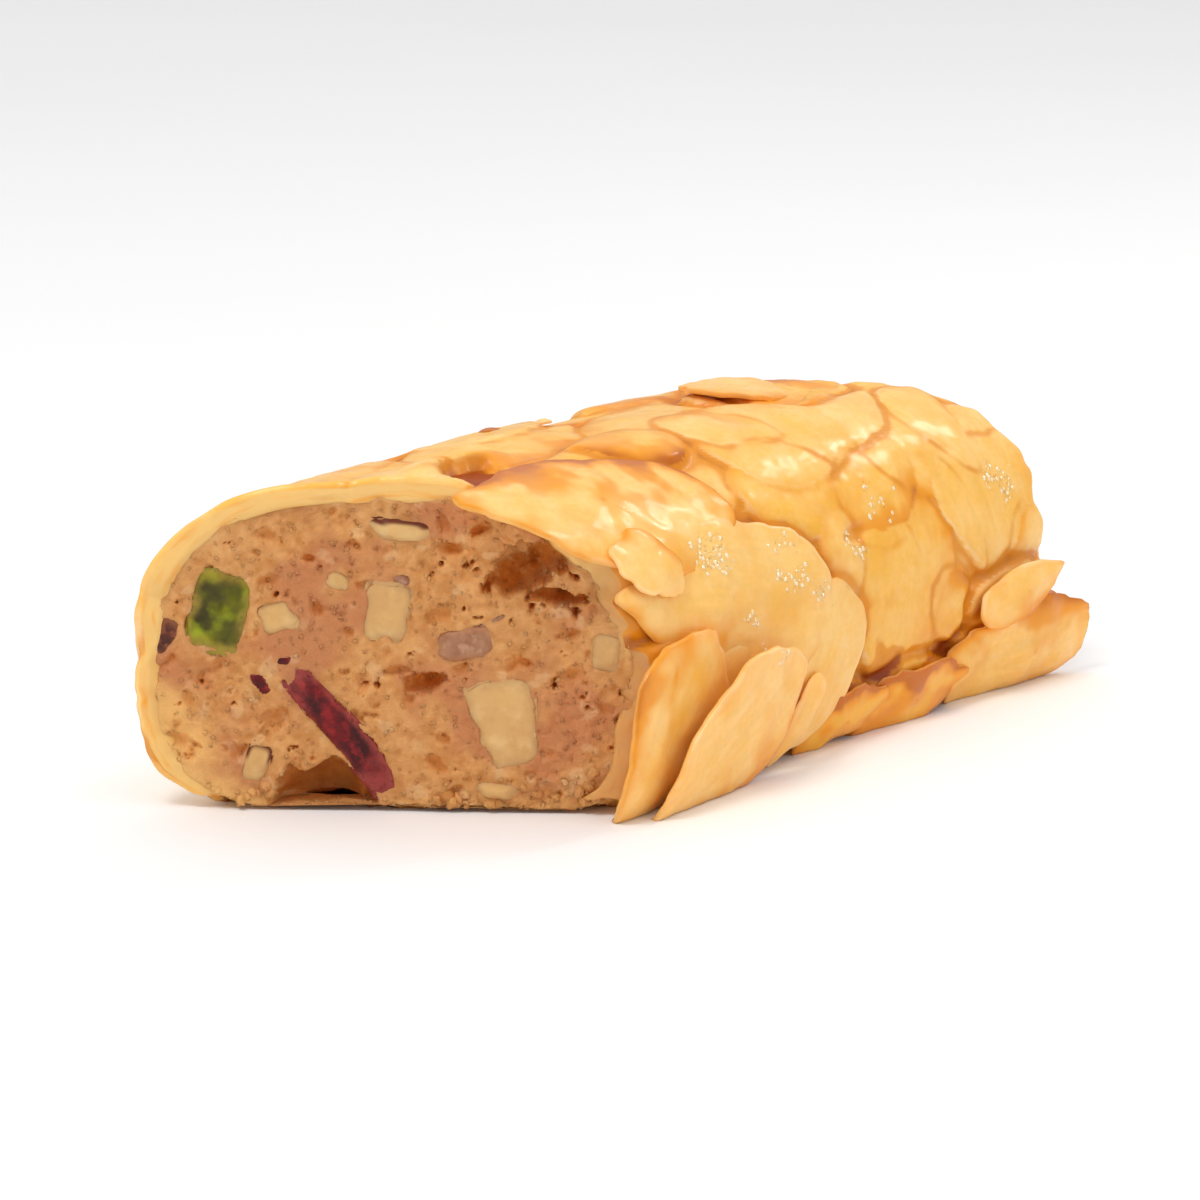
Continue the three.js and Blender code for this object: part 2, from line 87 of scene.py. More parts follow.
def turned(x: Array, y: Array, degrees: float) -> tuple[Array, Array]:
    """Return offsets in axes that are turned by some degrees; less than 0 turns them back."""
    c, s = math.cos(math.radians(degrees)), math.sin(math.radians(degrees))
    return x * c + y * s, y * c - x * s


def linear(colour: str) -> Colour:
    """Return an sRGB hex colour, such as e6c48c, as scene-linear red, green, blue and alpha."""
    shares = [int(colour[i : i + 2], 16) / 255 for i in (0, 2, 4)]
    red, green, blue = (s / 12.92 if s <= 0.04045 else ((s + 0.055) / 1.055) ** 2.4 for s in shares)
    return red, green, blue, 1.0


class Chance:
    """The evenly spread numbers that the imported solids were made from, the same in every run."""

    FACTOR, ADDED, RANGE = 1664525, 1013904223, 2**32

    def __init__(self, seed: int) -> None:
        """Start the row of numbers that belongs to seed."""
        self.state = seed

    def draw(self, low: float = 0.0, high: float = 1.0) -> float:
        """Return the next number between low and high."""
        self.state = (self.state * self.FACTOR + self.ADDED) % self.RANGE
        return low + (high - low) * self.state / self.RANGE


class Noise:
    """Seeded smooth noise and cells for many points at once."""

    SIDE = 32

    def __init__(self, seed: int) -> None:
        """Fill the lattice that the noise is read from."""
        rng = np.random.default_rng(seed)
        self.lattice = rng.uniform(-1, 1, (self.SIDE,) * 3)
        self.seeds = rng.random((self.SIDE, self.SIDE, self.SIDE, 4))

    def value(self, points: Array, cell: float) -> Array:
        """Return soft noise.

        Args:
            points: The points, one to a row.
            cell: The size of one swell, in the points' unit.

        Returns:
            One number from -1 to 1 for each point.
        """
        scaled = points / cell
        corner = np.floor(scaled).astype(int)
        part = scaled - corner
        part = part * part * (3 - 2 * part)
        total = np.zeros(points.shape[:-1])
        for step in product((0, 1), repeat=3):
            weight = np.prod(np.where(np.array(step) == 1, part, 1 - part), axis=-1)
            x, y, z = np.moveaxis((corner + np.array(step)) % self.SIDE, -1, 0)
            total += weight * self.lattice[x, y, z]
        return total

    def fractal(self, points: Array, cell: float, octaves: int = 3, gain: float = 0.5) -> Array:
        """Return noise with finer and weaker swells added to it.

        Args:
            points: The points, one to a row.
            cell: The size of the widest swell.
            octaves: How many sizes of swell are added, each half as wide as the one before.
            gain: How strong each is, as a share of the one before.

        Returns:
            One number for each point, mostly from -1 to 1.
        """
        sizes = range(octaves)
        return sum(gain**i * self.value(points + 7.3 * i, cell / 2**i) for i in sizes)

    def cells(self, points: Array, cell: float) -> tuple[Array, Array, Array]:
        """Return how points lie among grains packed side by side.

        Args:
            points: The points, one to a row.
            cell: The size of one grain.

        Returns:
            The distance to the nearest grain's middle and to the next one, in cells, and a number from 0
            to 1 that belongs to the nearest grain.
        """
        scaled = points / cell
        corner = np.floor(scaled).astype(int)
        nearest = np.full(points.shape[:-1], 9.0)
        second = nearest.copy()
        tone = np.zeros(points.shape[:-1])
        for step in product((-1, 0, 1), repeat=3):
            box = corner + np.array(step)
            x, y, z = np.moveaxis(box % self.SIDE, -1, 0)
            seeds = self.seeds[x, y, z]
            distance = np.linalg.norm(box + seeds[..., :3] - scaled, axis=-1)
            closer = distance < nearest
            second = np.where(closer, nearest, np.minimum(second, distance))
            tone = np.where(closer, seeds[..., 3], tone)
            nearest = np.minimum(nearest, distance)
        return nearest, second, tone


def softened(grid: Array, spread: float) -> Array:
    """Return a grid of heights blurred both ways.

    Args:
        grid: Heights that go round from the last column to the first.
        spread: How far each height is spread, in cells.

    Returns:
        The blurred grid.
    """
    reach = int(math.ceil(2.5 * spread))
    steps = np.arange(-reach, reach + 1)
    weights = np.exp(-0.5 * (steps / spread) ** 2)
    weights /= weights.sum()
    rows = np.pad(grid, ((reach, reach), (0, 0)), mode="edge")
    blurred = sum(w * rows[i : i + grid.shape[0]] for i, w in enumerate(weights))
    return sum(w * np.roll(blurred, s, axis=1) for s, w in zip(steps, weights))


# ---- The log and its two cuts ----


class End(Enum):
    """The two cuts of the slice: the one with the long red strip, and the one behind."""

    NEAR = "near"
    FAR = "far"


@dataclass(frozen=True)
class LogForm:
    """The baked log that the slice is cut from, in millimetres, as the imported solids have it.

    Its section is a two-sided round box. `along` is the distance round it from the crest, counted positive
    down the -Y side.
    """

    length: float = 50.0
    near_slant: float = 37.5
    far_slant: float = 40.0
    height: float = 25.1
    front_half_width: float = 14.9
    back_half_width: float = 15.9
    widest_height: float = 8.2
    coat_depth: float = 1.2
    base_sink: float = 0.8
    trim_margin: float = 0.4
    normal_reach: float = 1.5
    top_squareness: tuple[float, float] = (2.4, 2.8)
    low_squareness: tuple[float, float] = (4.0, 2.6)

    def section(self, angle: Array, inset: float) -> tuple[Array, Array]:
        """Return the section's outline about its widest height.

        Args:
            angle: Angles round the section, in radians.
            inset: How far the outline is drawn in.

        Returns:
            The widths and the heights of the outline's points.
        """
        c, s = np.cos(angle), np.sin(angle)
        front, low = c < 0, s < 0
        squareness = np.where(
            low,
            np.where(front, *self.low_squareness),
            np.where(front, *self.top_squareness),
        )
        half = np.where(front, self.front_half_width, self.back_half_width) - inset
        top_reach = self.height - self.widest_height - inset
        reach = np.where(low, self.widest_height + self.base_sink, top_reach)
        y = np.sign(c) * half * np.abs(c) ** (2 / squareness)
        z = self.widest_height + np.sign(s) * reach * np.abs(s) ** (2 / squareness)
        return y, np.maximum(z, 0)

    @cached_property
    def outline(self) -> tuple[Array, Array, Array]:
        """Return the dough's outline: the distances round it, the widths and the heights."""
        angle = TURN / 4 + np.linspace(0, TURN, 721)
        y, z = self.section(angle, self.coat_depth)
        along = np.concatenate([[0], np.cumsum(np.hypot(np.diff(y), np.diff(z)))])
        return along, y, z

    @property
    def girth(self) -> float:
        """Return the distance once round the dough."""
        return float(self.outline[0][-1])

    def wrapped(self, along: Array) -> Array:
        """Return distances round the log as the shorter way from the crest."""
        return (along + self.girth / 2) % self.girth - self.girth / 2

    def outline_point(self, along: Array) -> Array:
        """Return the width and height of the dough's outline at distances round it."""
        distances, y, z = self.outline
        want = np.mod(along, self.girth)
        return stacked(np.interp(want, distances, y), np.interp(want, distances, z))

    def surface(self, x: Array, along: Array) -> tuple[Array, Array, Array]:
        """Return the dough's surface.

        Args:
            x: Places along the log.
            along: Distances round it.

        Returns:
            The points, the directions round the log, and the directions out of it.
        """
        x, along = np.broadcast_arrays(np.asarray(x, float), np.asarray(along, float))
        yz = self.outline_point(along)
        step = self.outline_point(along + self.normal_reach) - self.outline_point(along - self.normal_reach)
        step /= np.linalg.norm(step, axis=-1, keepdims=True)
        point = stacked(x, yz[..., 0], yz[..., 1])
        return point, stacked(0.0, step[..., 0], step[..., 1]), stacked(0.0, step[..., 1], -step[..., 0])

    def slant(self, end: End) -> float:
        """Return how far a cut is turned from square, in radians."""
        return math.radians(self.near_slant if end is End.NEAR else self.far_slant)

    def inward(self, end: End) -> int:
        """Return 1 where the dough lies towards +X of a cut, and -1 where it lies towards -X."""
        return 1 if end is End.NEAR else -1

    def cut_x(self, end: End, y: Array) -> Array:
        """Return the place of a cut along the log at widths y."""
        return -self.inward(end) * self.length / 2 - math.tan(self.slant(end)) * y

    def cut_axes(self, end: End) -> tuple[Array, Array, Array]:
        """Return a cut's middle on the base, its direction across and its direction into the dough."""
        s, c = math.sin(self.slant(end)), math.cos(self.slant(end))
        middle = np.array([-self.inward(end) * self.length / 2, 0.0, 0.0])
        return middle, np.array([-s, c, 0.0]), self.inward(end) * np.array([c, s, 0.0])

    def on_cut(self, end: End, across: Array, up: Array, depth: Array) -> Array:
        """Return points given by their place on a cut.

        Args:
            end: The cut.
            across: Distances along it from the log's middle, positive towards +Y.
            up: Heights.
            depth: Depths behind it, into the dough.

        Returns:
            The points, one to a row.
        """
        middle, along_cut, inward = self.cut_axes(end)
        points = middle + across[..., None] * along_cut + depth[..., None] * inward
        points[..., 2] = up
        return points

    def to_cut(self, end: End, points: Array) -> tuple[Array, Array, Array]:
        """Return the places of points on a cut: across, up and depth, as on_cut has them."""
        middle, along_cut, inward = self.cut_axes(end)
        flat = points - middle
        return flat @ along_cut, points[..., 2], flat @ inward


# ---- Meshes ----


def grid_faces(rows: int, columns: int, closed: bool = False, start: int = 0) -> Array:
    """Return the quads of a grid of points.

    Args:
        rows: How many rows of points there are.
        columns: How many points a row has.
        closed: Whether each row goes round to its first point.
        start: The number of the grid's first point.

    Returns:
        One quad to a row.
    """
    r, c = np.meshgrid(np.arange(rows - 1), np.arange(columns if closed else columns - 1), indexing="ij")
    after = (c + 1) % columns
    corners = [r * columns + c, r * columns + after, (r + 1) * columns + after, (r + 1) * columns + c]
    return start + np.stack(corners, axis=-1).reshape(-1, 4)


def capped_faces(rings: int, sides: int, start: int = 0) -> list[list[int]]:
    """Return the faces of rings between a first and a last point, which close the form at its two ends.

    Args:
        rings: How many rings of points there are between the two end points.
        sides: How many points a ring has.
        start: The number of the first end point.

    Returns:
        Triangles at the two ends and quads between.
    """
    faces = grid_faces(rings, sides, closed=True, start=start + 1).tolist()
    last = start + 1 + rings * sides
    for i in range(sides):
        after = (i + 1) % sides
        faces.append([start, start + 1 + after, start + 1 + i])
        faces.append([last, last - sides + i, last - sides + after])
    return faces


def linked(name: str, data: bpy.types.ID) -> Object:
    """Put data into the scene as an object and return it."""
    made = bpy.data.objects.new(name, data)
    bpy.context.scene.collection.objects.link(made)
    return made


def mesh_object(name: str, points: Array, faces: Sequence, marks: Marks | None = None) -> Object:
    """Make a smooth mesh whose faces point outwards.

    Args:
        name: The object's name.
        points: The points, in millimetres.
        faces: The faces, each a row of point numbers.
        marks: Values or vectors for each point, by the name that a material reads.

    Returns:
        The object, in the scene and at the origin.
    """
    faces = faces.tolist() if isinstance(faces, np.ndarray) else list(faces)
    fans = np.array([(f[0], f[i], f[i + 1]) for f in faces for i in range(1, len(f) - 1)])
    a, b, c = points[fans[:, 0]], points[fans[:, 1]], points[fans[:, 2]]
    if np.einsum("ij,ij->", a, np.cross(b, c)) < 0:
        faces = [f[::-1] for f in faces]
    mesh = bpy.data.meshes.new(name)
    mesh.from_pydata((points * MM).tolist(), [], faces)
    for mark, values in (marks or {}).items():
        kind = "FLOAT_VECTOR" if values.ndim == 2 else "FLOAT"
        layer = mesh.attributes.new(mark, kind, "POINT")
        layer.data.foreach_set("vector" if values.ndim == 2 else "value", values.astype(np.float32).ravel())
    mesh.shade_smooth()
    mesh.update()
    return linked(name, mesh)


class Batch:
    """Points, faces and marks of several closed forms that become one mesh."""

    def __init__(self) -> None:
        """Start empty."""
        self.points: list[Array] = []
        self.faces: list[list[int]] = []
        self.marks: dict[str, list[Array]] = {}
        self.count = 0

    def add(self, points: Array, faces: list[list[int]], marks: Marks) -> None:
        """Add one form, whose faces count its own points from 0.

        Args:
            points: Its points.
            faces: Its faces, which count its own points from 0.
            marks: Its values for each point, by their names.
        """
        self.faces += [[self.count + i for i in f] for f in faces]
        self.points.append(points)
        self.count += len(points)
        for name, values in marks.items():
            self.marks.setdefault(name, []).append(np.broadcast_to(values, (len(points), *values.shape[1:])))

    def build(self, name: str) -> Object:
        """Make the mesh of everything added."""
        marks = {mark: np.concatenate(values) for mark, values in self.marks.items()}
        return mesh_object(name, np.concatenate(self.points), self.faces, marks)


def finish_piece(piece: Object, slot: str, material: Material, replaced: Sequence[str] = ()) -> None:
    """Dress a finished piece, hang it under the body and hide the solids that it stands for.

    Args:
        piece: The object.
        slot: The name of its finish, which is only logged.
        material: Its material.
        replaced: The solids that it stands for.
    """
    piece.data.materials.clear()
    piece.data.materials.append(material)
    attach(piece, BODY)
    if replaced:
        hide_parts(*replaced)
    log.info("%s: %d faces, finish %s", piece.name, len(piece.data.polygons), slot)


# ---- Node trees ----


class Graph:
    """Short calls that add nodes to a tree and join them."""

    def __init__(self, tree: NodeTree) -> None:
        """Start with a tree, whose own nodes are cleared away."""
        self.tree = tree
        tree.nodes.clear()

    def add(self, kind: str, inputs: dict | None = None, **settings: object) -> bpy.types.Node:
        """Add a node.

        Args:
            kind: Blender's name for the node.
            inputs: A socket or a plain value for each input, by its name or number.
            settings: The node's own settings.

        Returns:
            The node.
        """
        node = self.tree.nodes.new(kind)
        for name, value in settings.items():
            setattr(node, name, value)
        for name, value in (inputs or {}).items():
            if isinstance(value, Socket):
                self.tree.links.new(value, node.inputs[name])
            else:
                node.inputs[name].default_value = value
        return node

    def math(self, operation: str, *values: object) -> Socket:
        """Return the result of an operation, such as MULTIPLY_ADD, on sockets and numbers."""
        return self.add("ShaderNodeMath", dict(enumerate(values)), operation=operation).outputs[0]

    def times(self, *values: object) -> Socket:
        """Return the product of two sockets or numbers."""
        return self.math("MULTIPLY", *values)

    def plus(self, *values: object) -> Socket:
        """Return the sum of two sockets or numbers."""
        return self.math("ADD", *values)

    def layered(self, colour: object, *layers: tuple[object, float, str]) -> Socket:
        """Return a colour with others laid over it.

        Args:
            colour: What lies below.
            layers: The share that each covers, its strength and its colour.

        Returns:
            The colour.
        """
        for share, strength, shade in layers:
            cover = share if strength == 1 else self.times(share, strength)
            colour = self.mix(cover, colour, linear(shade))
        return colour

    def scaled(self, vector: object, factors: Sequence[float]) -> Socket:
        """Return a vector multiplied by three factors."""
        inputs = {0: vector, 1: tuple(factors)}
        return self.add("ShaderNodeVectorMath", inputs, operation="MULTIPLY").outputs[0]

    def stretched(self, vector: object, factor: object) -> Socket:
        """Return a vector multiplied by one factor."""
        inputs = {0: vector, "Scale": factor}
        return self.add("ShaderNodeVectorMath", inputs, operation="SCALE").outputs[0]

    def step(self, value: object, low: float, high: float) -> Socket:
        """Return 0 at low, 1 at high and a soft step between."""
        inputs = {"Value": value, "From Min": low, "From Max": high}
        return self.add("ShaderNodeMapRange", inputs, interpolation_type="SMOOTHSTEP").outputs[0]

    def mix(self, share: object, a: object, b: object, blend: str = "MIX") -> Socket:
        """Return a blend of two colours by a share of the second."""
        inputs = {0: share, 6: a, 7: b}
        return self.add("ShaderNodeMix", inputs, data_type="RGBA", blend_type=blend).outputs[2]

    def noise(self, place: object, scale: float, detail: float = 2.0) -> Socket:
        """Return soft noise from 0 to 1 with swells of 1 / scale of the place's unit."""
        inputs = {"Vector": place, "Scale": scale, "Detail": detail}
        return self.add("ShaderNodeTexNoise", inputs).outputs["Fac"]

    def mark(self, name: str, vector: bool = False) -> Socket:
        """Return the value or vector that a mesh holds for its points under a name."""
        node = self.add("ShaderNodeAttribute", attribute_name=name)
        return node.outputs["Vector" if vector else "Fac"]

    def place(self) -> Socket:
        """Return the point's place on the object, in millimetres."""
        here = self.add("ShaderNodeTexCoord").outputs["Object"]
        return self.scaled(here, (1 / MM,) * 3)

    def effect(self, tree: NodeTree, inputs: dict) -> bpy.types.NodeOutputs:
        """Add a group of nodes and return what it puts out."""
        return self.add("ShaderNodeGroup", inputs, node_tree=tree).outputs


class EffectGraph(Graph):
    """The graph of a new shader group."""

    def __init__(self, name: str, inputs: dict[str, float], outputs: Sequence[str]) -> None:
        """Make the group.

        Args:
            name: Its name.
            inputs: The numbers that it takes besides a place, with their usual values.
            outputs: The numbers that it puts out.
        """
        super().__init__(bpy.data.node_groups.new(name, "ShaderNodeTree"))
        face = self.tree.interface
        face.new_socket("Place", in_out="INPUT", socket_type="NodeSocketVector")
        for key, value in inputs.items():
            face.new_socket(key, in_out="INPUT", socket_type="NodeSocketFloat").default_value = value
        for key in outputs:
            face.new_socket(key, in_out="OUTPUT", socket_type="NodeSocketFloat")
        self.given = self.add("NodeGroupInput").outputs

    def ended(self, **results: Socket) -> NodeTree:
        """Join the results to the group's outputs and return the group."""
        self.add("NodeGroupOutput", results)
        return self.tree


class MaterialGraph(Graph):
    """The graph of a new material."""

    def __init__(self, name: str) -> None:
        """Make the material."""
        self.material = bpy.data.materials.new(name)
        self.material.use_nodes = True
        super().__init__(self.material.node_tree)

    def ended(
        self, colour: object, roughness: object, height: object, relief: float, **constants: object
    ) -> Material:
        """End the material with its shader.

        Args:
            colour: The socket or value of its colour.
            roughness: The socket or value of its roughness.
            height: The socket that gives its fine relief.
            relief: How tall that relief is, in millimetres.
            constants: The shader's other inputs, by their names with underscores for spaces.

        Returns:
            The material.
        """
        bump = self.add("ShaderNodeBump", {"Height": height, "Strength": 1.0, "Distance": relief * MM})
        inputs = {"Base Color": colour, "Roughness": roughness, "Normal": bump.outputs[0]}
        inputs |= {name.replace("_", " "): value for name, value in constants.items()}
        shader = self.add("ShaderNodeBsdfPrincipled", inputs, subsurface_method="BURLEY")
        self.add("ShaderNodeOutputMaterial", {"Surface": shader.outputs[0]})
        return self.material


class Effects:
    """Shader groups for the finishes, each built once."""

    @cached_property
    def grain(self) -> NodeTree:
        """Return the fine mottling of food: a share for colour and a height for bump."""
        g = EffectGraph("food_grain", {"Coarse": 0.8, "Fine": 4.0}, ("Mottle", "Height"))
        given = g.given
        coarse = g.noise(given["Place"], given["Coarse"], 3.0)
        fine = g.noise(given["Place"], given["Fine"], 4.0)
        mottle = g.plus(g.times(coarse, 0.65), g.times(fine, 0.35))
        height = g.plus(g.times(coarse, 0.4), g.times(fine, 0.6))
        return g.ended(Mottle=g.step(mottle, 0.32, 0.68), Height=height)

    @cached_property
    def toasting(self) -> NodeTree:
        """Return where heat has browned an almond: more at the rim, in soft patches."""
        usual = {"Amount": 0.4, "Rim distance": 1.0, "Patch size": 3.0}
        g = EffectGraph("toasting", usual, ("Golden", "Brown"))
        given = g.given
        patches = g.noise(given["Place"], g.math("DIVIDE", 1.0, given["Patch size"]), 2.0)
        near_rim = g.math("EXPONENT", g.times(given["Rim distance"], -1.1))
        heat = g.times(given["Amount"], g.step(patches, 0.38, 0.66))
        heat = g.plus(heat, g.times(near_rim, g.times(given["Amount"], 1.2)))
        return g.ended(Golden=g.step(heat, 0.04, 0.6), Brown=g.step(heat, 0.5, 1.35))

    @cached_property
    def honey(self) -> NodeTree:
        """Return how honey over a surface darkens it and how its skin ripples."""
        outputs = ("Amber", "Deep", "Height")
        g = EffectGraph("honey_glaze", {"Thickness": 0.0, "Bubbles": 0.0}, outputs)
        given = g.given
        streaks = g.noise(given["Place"], 0.35, 2.0)
        thick = g.times(given["Thickness"], g.plus(streaks, 0.55))
        soft = g.noise(given["Place"], 0.7, 2.0)
        cells = g.add(
            "ShaderNodeTexVoronoi", {"Vector": given["Place"], "Scale": 2.4, "Smoothness": 0.25},
            feature="SMOOTH_F1",
        ).outputs["Distance"]
        domes = g.times(g.step(cells, 0.42, 0.05), given["Bubbles"])
        height = g.plus(g.times(soft, 0.5), domes)
        return g.ended(Amber=g.step(thick, 0.01, 0.24), Deep=g.step(thick, 0.3, 0.95), Height=height)


EFFECTS = Effects()


# ---- Finishes ----


@dataclass(frozen=True)
class FlakeFinish:
    """Sliced almond, toasted here and there, under honey glaze."""

    name: str
    pale: str = "fdd084"
    golden: str = "f6b43a"
    toasted: str = "f09a1c"
    brown: str = "c66a04"
    amber: str = "e08808"
    deep: str = "983c00"
    # painted highlight in part: pale cream at the thin rim, partly the almond's own paler edge
    thin: str = "fde0b0"
    crust: str = "c87818"
    rind: str = "f2c272"
    torn: str = "cf8e4c"
    gloss: float = 0.22

    def material(self) -> Material:
        """Make the material, which reads the marks of the coat and of the leaves.

        Returns:
            The material.
        """
        g = MaterialGraph(self.name)
        place = g.place()
        grain_place = g.mark("grain", vector=True)
        rim, tone, glaze = g.mark("rim"), g.mark("tone"), g.mark("glaze")
        streaks = g.noise(g.scaled(grain_place, (0.22, 1.5, 1.0)), 1.0, 3.0)
        bubbles, layer = g.mark("bubbles"), g.mark("layer", vector=True)
        grain = g.effect(EFFECTS.grain, {"Place": place, "Coarse": 0.45, "Fine": 2.2})
        mottle = grain["Mottle"]
        toasting = {"Place": place, "Amount": g.mark("toast"), "Rim distance": rim, "Patch size": 4.0}
        heat = g.effect(EFFECTS.toasting, toasting)
        honey = g.effect(EFFECTS.honey, {"Place": place, "Thickness": glaze, "Bubbles": bubbles})
        share = g.plus(g.times(tone, 0.7), g.times(mottle, 0.45))
        colour = g.mix(share, linear(self.pale), linear(self.golden))
        streak_tone = g.plus(g.times(streaks, 0.16), 0.92)
        colour = g.mix(1.0, colour, streak_tone, "MULTIPLY")
        # paler near the rim: partly the thin almond's own edge and partly a painted rim highlight
        thin = g.times(g.step(rim, 0.5, 0.08), g.step(mottle, 0.1, 0.7))
        stain = g.step(g.noise(place, 0.13, 3.0), 0.5, 0.68)
        colour = g.layered(
            colour, (thin, 0.5, self.thin), (stain, 0.5, self.golden), (heat["Golden"], 1, self.toasted),
            (heat["Brown"], 1, self.brown),
        )
        layers = g.noise(g.scaled(layer, (0.3, 1.5, 1.0)), 1.0, 3.0)
        rind = g.mix(g.step(layers, 0.48, 0.85), linear(self.rind), linear(self.toasted))
        around = g.add("ShaderNodeSeparateXYZ", {0: layer}).outputs[0]
        rind = g.layered(rind, (g.step(around, 11.0, 16.0), 0.75, self.torn))
        colour = g.mix(g.mark("cut"), colour, rind)
        colour = g.layered(colour, (honey["Amber"], 0.8, self.amber), (honey["Deep"], 1, self.deep))
        baked = g.mix(mottle, linear(self.crust), linear(self.brown))
        colour = g.mix(g.mark("base"), colour, baked)
        roughness = g.plus(0.32, g.times(grain["Height"], 0.2))
        gloss = g.math("MULTIPLY_ADD", honey["Amber"], -0.7 * self.gloss, self.gloss)
        gloss = g.math("MULTIPLY_ADD", stain, 0.2, g.math("MULTIPLY_ADD", bubbles, 0.2, gloss))
        height = g.plus(honey["Height"], g.times(streaks, 0.2))
        return g.ended(
            colour, roughness, height, 0.14,
            Subsurface_Weight=0.3, Subsurface_Radius=(1.0, 0.55, 0.25), Subsurface_Scale=GLOW_SCALE,
            Coat_Weight=gloss, Coat_Roughness=0.16, IOR=1.36,
        )


@dataclass(frozen=True)
class CrumbFinish:
    """The cut dough: ground almonds bound with flour, with specks of skin and bits of nut."""

    name: str = "crumb"
    light: str = "e0a465"
    middle: str = "c07c3c"
    warm: str = "c0784c"
    # painted shade: the orange-brown laid into the pits, the crags and the base notch
    pit: str = "da8226"
    speck: str = "8a4a20"
    chip: str = "ecc492"
    rind: str = "eeb76c"

    def material(self) -> Material:
        """Make the material, which reads the marks of the crumb.

        Returns:
            The material.
        """
        g = MaterialGraph(self.name)
        place = g.place()
        grain = g.effect(EFFECTS.grain, {"Place": place, "Coarse": 0.9, "Fine": 5.0})
        mottle = grain["Mottle"]
        share = g.math("MULTIPLY_ADD", g.mark("tone"), 0.6, g.times(mottle, 0.4))
        colour = g.mix(share, linear(self.middle), linear(self.light))
        small = g.add("ShaderNodeTexVoronoi", {"Vector": place, "Scale": 1.9, "Randomness": 1.0})
        pick = g.add("ShaderNodeSeparateColor", {0: small.outputs["Color"]}).outputs[1]
        specks = g.times(g.step(pick, 0.93, 0.95), g.step(small.outputs["Distance"], 0.4, 0.2))
        # the pit layer is painted shade, laid where the cut's surface lies below the level round it
        colour = g.layered(
            colour, (g.mark("warm"), 0.75, self.warm), (g.mark("chip"), 0.3, self.chip),
            (specks, 0.4, self.speck), (g.mark("rind"), 0.85, self.rind), (g.mark("pit"), 0.8, self.pit),
        )
        roughness = g.plus(0.55, g.times(mottle, 0.25))
        return g.ended(
            colour, roughness, grain["Height"], 0.16,
            Subsurface_Weight=0.3, Subsurface_Radius=(1.0, 0.5, 0.25), Subsurface_Scale=GLOW_SCALE,
            Coat_Weight=0.04, Coat_Roughness=0.25, IOR=1.38,
        )


@dataclass(frozen=True)
class MorselFinish:
    """A piece of fruit or nut in the dough: three shades of it, its skin and how wet it is."""

    name: str
    shade: str
    lighter: str
    darker: str
    skin: str
    edge: str = "cf9058"
    roughness: float = 0.4
    gloss: float = 0.3
    relief: float = 0.08
    glow: float = 0.2
    coarse: float = 0.7
    fine: float = 3.5
    blotch: float = 1.4

    def material(self) -> Material:
        """Make the material, which reads the marks of a morsel.

        Returns:
            The material.
        """
        g = MaterialGraph(self.name)
        place = g.place()
        grain = g.effect(EFFECTS.grain, {"Place": place, "Coarse": self.coarse, "Fine": self.fine})
        mottle = grain["Mottle"]
        colour = g.mix(mottle, linear(self.darker), linear(self.shade))
        blotches = g.step(g.noise(place, self.blotch, 3.0), 0.48, 0.74)
        dusting = g.times(g.mark("edge"), g.step(g.noise(place, 2.4, 3.0), 0.2, 0.5))
        colour = g.layered(
            colour, (blotches, 1, self.lighter), (dusting, 0.85, self.edge), (g.mark("skin"), 1, self.skin)
        )
        roughness = g.plus(self.roughness - 0.08, g.times(mottle, 0.16))
        return g.ended(
            colour, roughness, grain["Height"], self.relief,
            Subsurface_Weight=self.glow, Subsurface_Radius=(1.0, 0.6, 0.3), Subsurface_Scale=GLOW_SCALE,
            Coat_Weight=self.gloss, Coat_Roughness=0.15, IOR=1.3,
        )


class Finish(Enum):
    """The finishes of the morsels, each under its slot's name."""

    GREEN = ("green_fruit", MorselFinish(
        "green_fruit", "666400", "98a206", "322a00", "5a6610", "a48634", 0.4, 0.12, 0.06, 0.3, 0.25, 0.8, 0.4))
    RED = ("red_fruit", MorselFinish(
        "red_fruit", "74080e", "941a1e", "380306", "5a0a16", "a8463e", 0.4, 0.15, 0.25, 0.2, 0.7, 3.6))
    RAISIN = ("raisin", MorselFinish(
        "raisin", "6a2e1c", "8c4c30", "34120a", "4a2015", "a86840", 0.45, 0.2, 0.2, 0.1, 0.9, 3.0))
    ALMOND = ("almond", MorselFinish(
        "almond", "dcae6e", "e4bc80", "d2a064", "6c2e14", "cc9c66", 0.5, 0.04, 0.06, 0.4, 0.3, 1.6, 0.5))
    NUT = ("nut", MorselFinish(
        "nut", "b08060", "be9070", "9a6448", "6c3420", "b87c54", 0.5, 0.06, 0.1, 0.2, 0.5, 2.4))

    @property
    def slot(self) -> str:
        """Return the name of its material slot."""
        return self.value[0]

    @cached_property
    def material(self) -> Material:
        """Return the material, made when it is first asked for."""
        return self.value[1].material()


@dataclass(frozen=True)
class SyrupFinish:
    """Honey of the glaze's small bubbles and beads, coloured pale cream as a painted glint so that each bead
    reads as a sparkle.
    """

    name: str = "honey_painted_glints"
    # painted glint: the pale cream of the beads
    colour: str = "fff0cc"
    deeper: str = "f4c064"

    def material(self) -> Material:
        """Make the material.

        Returns:
            The material.
        """
        g = MaterialGraph(self.name)
        ripple = g.noise(g.place(), 3.0, 2.0)
        # painted glints: pale cream mixed with a deeper amber by the ripple
        colour = g.mix(g.step(ripple, 0.3, 0.7), linear(self.colour), linear(self.deeper))
        return g.ended(
            colour, 0.12, ripple, 0.01, IOR=1.6, Coat_Weight=1.0, Coat_Roughness=0.03, Coat_IOR=1.8,
        )


# ---- Flaked almonds ----


